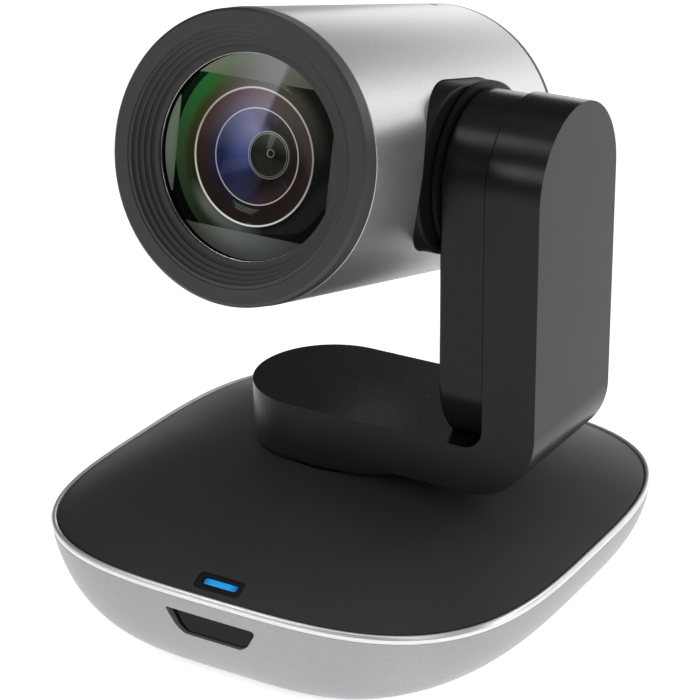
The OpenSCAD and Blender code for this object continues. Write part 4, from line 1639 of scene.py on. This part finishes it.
    def optics(self) -> None:
        """Builds the cover glass, the mask behind it and the coated lens with its bright seat rings, most
        of whose reflections and highlights are painted in as emission.
        """
        make, f = self.make, self.front
        pane = make.lathe(
            "cover_pane",
            rounded(
                [
                    (0, f + 5.1, 0),
                    (self.glass - 0.05, f + 5.1, 0.2),
                    (self.glass - 0.05, f + 6.2, 0.2),
                    (0, f + 6.2, 0),
                ],
                3,
            ),
        )
        dress(make.shade(pane), PANE, "head", Slot.CLEAR_GLASS, ["cover_glass"])
        rim = make.ring_line("cover_rim_line", self.glass - 0.5, f + 5.0, 0.1)
        dress(make.shade(rim, 60), EDGE_LINE, "head", Slot.ZINC_STEEL)
        mask = make.lathe(
            "lens_mask",
            rounded([(10, -43.95, 0), (22.6, -43.95, 0.1), (22.6, -43.4, 0), (10, -43.4, 0)], 2),
        )
        make.combine(mask, [make.prism("gate", box_outline(39.8, 33.4, 6.0), "y", -50, -40)])
        dress(make.shade(mask, 34), MASK_PAINTED_LIGHT, "head", Slot.CHARCOAL)
        barrel = make.lathe(
            "lens_tube",
            rounded(
                [
                    (22.4, -43.3, 0.1),
                    (24.1, -43.3, 0.1),
                    (24.1, -27, 0.1),
                    (12, -27, 0),
                    (12, -28.4, 0),
                    (22.4, -28.4, 0),
                ],
                2,
            ),
        )
        dress(make.shade(barrel, 34), INNER_ABS, "head", Slot.MATTE_BLACK, ["lens_barrel"])
        self.zone("front_element", FRONT_ZONE, (22.3, -40.2), (15.3, -42.9), 1.6, ["front_lens"])
        self.zone("second_element", SECOND_ZONE, (15.0, -43.0), (10.7, -41.7), -0.5)
        self.zone("third_element", THIRD_ZONE, (10.5, -41.6), (5.3, -36.9), -0.4)
        self.zone("inner_element", INNER_ZONE, (5.1, -36.7), (0.0, -37.6), 0.25)
        seats = (
            (15.1, -43.15, 0.2, FIRST_SEAT),
            (10.6, -41.85, 0.13, SECOND_SEAT),
            (5.2, -36.95, 0.1, INNER_SEAT),
            (4.75, -37.0, 0.06, INNER_SEAT),
        )
        for index, (reach, along, thick, finish) in enumerate(seats):
            line = make.ring_line(f"seat_ring_{index + 1}", reach, along, thick)
            dress(make.shade(line, 60), finish, "head", Slot.ZINC_STEEL)
        iris = Maker(make.pose @ Matrix.Translation(Vector((1.0, 0, 0.6)) * MM))
        line = iris.ring_line("iris_line", 0.85, -37.75, 0.09)
        dress(iris.shade(line, 60), INNER_SEAT, "head", Slot.ZINC_STEEL)

    def zone(
        self,
        name: str,
        finish: Finish,
        outer: Point,
        inner: Point,
        crown: float,
        replaces: Sequence[str] = (),
    ) -> None:
        """Builds one ring of glass as a thin crowned shell.

        Args:
            name: The piece's name.
            finish: Its painted reflection colours, given as emission.
            outer: Radius and distance along the axis at the outer edge.
            inner: The same at the inner edge.
            crown: How far the middle bulges towards the front.
            replaces: Frame nodes that it stands for.
        """
        steps = 16
        front: Outline = []
        for i in range(steps + 1):
            t = i / steps
            reach, along = (a + (b - a) * t for a, b in zip(outer, inner))
            front.append((reach, along - crown * 2 * t * (1 - t)))
        back = [(r, along + 0.5) for r, along in reversed(front)]
        shell = self.make.lathe(name, front + back)
        dress(self.make.shade(shell, 50), finish, "head", Slot.CLEAR_GLASS, replaces)


# ---------------------------------------------------------------- frame parts that stay


@dataclass
class CarriedParts:
    """The frame's own nodes that keep their shape and only take a finish and finely broken edges."""

    finishes: dict[Slot, Finish] = field(
        default_factory=lambda: {
            Slot.SATIN_SILVER: BOWL_PAINT,
            Slot.BRIGHT_TRIM: TRIM_PLATING,
            Slot.MATTE_BLACK: INNER_ABS,
            Slot.GLOSS_BLACK: INNER_ABS,
            Slot.CHARCOAL: BEZEL_ABS,
            Slot.TUBE_SILVER: CAST_METAL,
            Slot.CLEAR_GLASS: LENS_BLUE,
            Slot.SMOKED_WINDOW: WINDOW_ACRYLIC,
            Slot.BLUE_LIGHT: LIGHT_BAR,
            Slot.CIRCUIT_BOARD: BOARD,
            Slot.CHIP_BLACK: CHIP,
            Slot.BRASS: TURNED_BRASS,
            Slot.RUBBER: FOOT_RUBBER,
            Slot.ZINC_STEEL: ZINC_STEEL,
            Slot.BEARING_PLASTIC: BEARING_ACETAL,
            Slot.GEAR_PLASTIC: GEAR_ACETAL,
            Slot.RIBBON: CABLE,
        }
    )
    broken_edge_mm: float = 0.12

    def build(self, frame: dict) -> None:
        """Dresses each node that is still shown.

        Args:
            frame: What the frame's loader returned.
        """
        slots = {
            sub["node"]: sub["material_slot"]
            for sub in frame["record"].get("subparts", [])
            if "node" in sub and "material_slot" in sub
        }
        for name, node in sorted(frame["nodes"].items()):
            if node.hide_render:
                continue
            slot = Slot(slots[name]) if name in slots else Slot.MATTE_BLACK
            finish = self.finishes[slot].build()
            if not node.material_slots:
                node.data.materials.append(finish)
            for holder in node.material_slots:
                holder.material = finish
            edge = node.modifiers.new("broken_edge", "BEVEL")
            edge.limit_method = "ANGLE"
            edge.angle_limit = math.radians(50)
            edge.width = self.broken_edge_mm * MM
            edge.segments = 1
            LOG.info("frame node %s takes %s", name, finish.name)


# ---------------------------------------------------------------- studio


@dataclass(frozen=True)
class SoftLamp:
    """A rectangular soft lamp: its turn and rise in degrees, its size in metres and its watts."""

    name: str
    turn: float
    rise: float
    width: float
    height: float
    power: float
    away: float = 1.6


@dataclass
class Studio:
    """A pale floor, soft lamps and the camera."""

    soft_lamps: tuple[SoftLamp, ...] = (
        SoftLamp("top_softbox", 0, 86, 1.2, 1.2, 5),
        SoftLamp("rear_right_softbox", 135, 33, 0.7, 0.7, 5),
        SoftLamp("front_right_softbox", 45, 33, 0.7, 0.7, 3.5),
        SoftLamp("front_left_softbox", 330, 24, 0.3, 0.35, 2.6),
        SoftLamp("upper_left_softbox", 310, 52, 0.3, 0.5, 2.4),
        SoftLamp("right_strip", 105, 9, 0.12, 0.5, 1.2, 1.2),
        SoftLamp("rear_backdrop", 178, 8, 1.8, 0.45, 5),
    )
    middle: tuple[float, float, float] = (0.0, 0.0, 0.08)
    floor_half: float = 9.0
    floor_glow: float = 0.68
    air: float = 0.1
    turn: float = 0.5395588
    rise: float = 0.4097419
    distance: float = 0.58654
    target: tuple[float, float, float] = (0.000083, 0.000049, 0.061655)
    roll: float = -0.0084075
    lens: float = 125.14
    shift: float = -0.00684

    def build(self) -> None:
        """Builds the floor, the sky, the lamps and the camera."""
        self.floor()
        self.sky()
        self.lamps()
        self.camera()

    def floor(self) -> None:
        """Lays a wide pale floor that glows a little, so that it reads as white paper."""
        half = self.floor_half
        corners = [(-half, -half, 0), (half, -half, 0), (half, half, 0), (-half, half, 0)]
        sheet = bpy.data.meshes.new("studio_floor")
        sheet.from_pydata(corners, [], [(0, 1, 2, 3)])
        ground = bpy.data.objects.new("studio_floor", sheet)
        bpy.context.scene.collection.objects.link(ground)
        ground.location.z = -0.0002
        paper = MouldedPlastic(
            "paper_rolled_white", "#f4f4f5", 0.85, grain_mm=4, depth_mm=0.01, cloud=0.01, cloud_mm=400
        ).build()
        shader = shader_of(paper.node_tree)
        shader.inputs["Emission Color"].default_value = linear("#ffffff")
        shader.inputs["Emission Strength"].default_value = self.floor_glow
        ground.data.materials.append(paper)

    def sky(self) -> None:
        """Lights everything softly from all round."""
        world = bpy.data.worlds.new("studio_air")
        bpy.context.scene.world = world
        world.use_nodes = True
        back = next(n for n in world.node_tree.nodes if n.type == "BACKGROUND")
        back.inputs["Color"].default_value = linear("#ffffff")
        back.inputs["Strength"].default_value = self.air
        bpy.context.scene.view_settings.view_transform = "Standard"

    def lamps(self) -> None:
        """Hangs the lamps round the object, each facing its middle."""
        for lamp in self.soft_lamps:
            away = direction(math.radians(lamp.turn), math.radians(lamp.rise))
            light = bpy.data.lights.new(lamp.name, "AREA")
            light.shape = "RECTANGLE"
            light.size, light.size_y = lamp.width, lamp.height
            light.energy = lamp.power
            hung = bpy.data.objects.new(lamp.name, light)
            bpy.context.scene.collection.objects.link(hung)
            hung.location = Vector(self.middle) + away * lamp.away
            hung.rotation_euler = (-away).to_track_quat("-Z", "Y").to_euler()

    def camera(self) -> None:
        """Sets the camera at its angle, with its small roll and shift."""
        back = direction(self.turn, self.rise)
        right = Vector((0, 0, 1)).cross(back).normalized()
        up = back.cross(right)
        c, s = math.cos(self.roll), math.sin(self.roll)
        right, up = right * c + up * s, up * c - right * s
        place = Vector(self.target) + back * self.distance
        data = bpy.data.cameras.new("studio_camera")
        data.lens, data.sensor_width, data.shift_x = self.lens, 36.0, self.shift
        data.clip_start, data.clip_end = 0.02, 40.0
        eye = bpy.data.objects.new("studio_camera", data)
        bpy.context.scene.collection.objects.link(eye)
        eye.matrix_world = Matrix((right, up, back)).transposed().to_4x4()
        eye.matrix_world.translation = place
        bpy.context.scene.camera = eye


def main() -> None:
    """Builds the assemblies in order, then the studio."""
    logging.basicConfig(level=logging.INFO, format="%(name)s: %(message)s")
    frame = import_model()
    BaseAssembly().build()
    ArmAssembly().build()
    HeadAssembly().build()
    CarriedParts().build(frame)
    Studio().build()


if __name__ == "__main__":
    main()
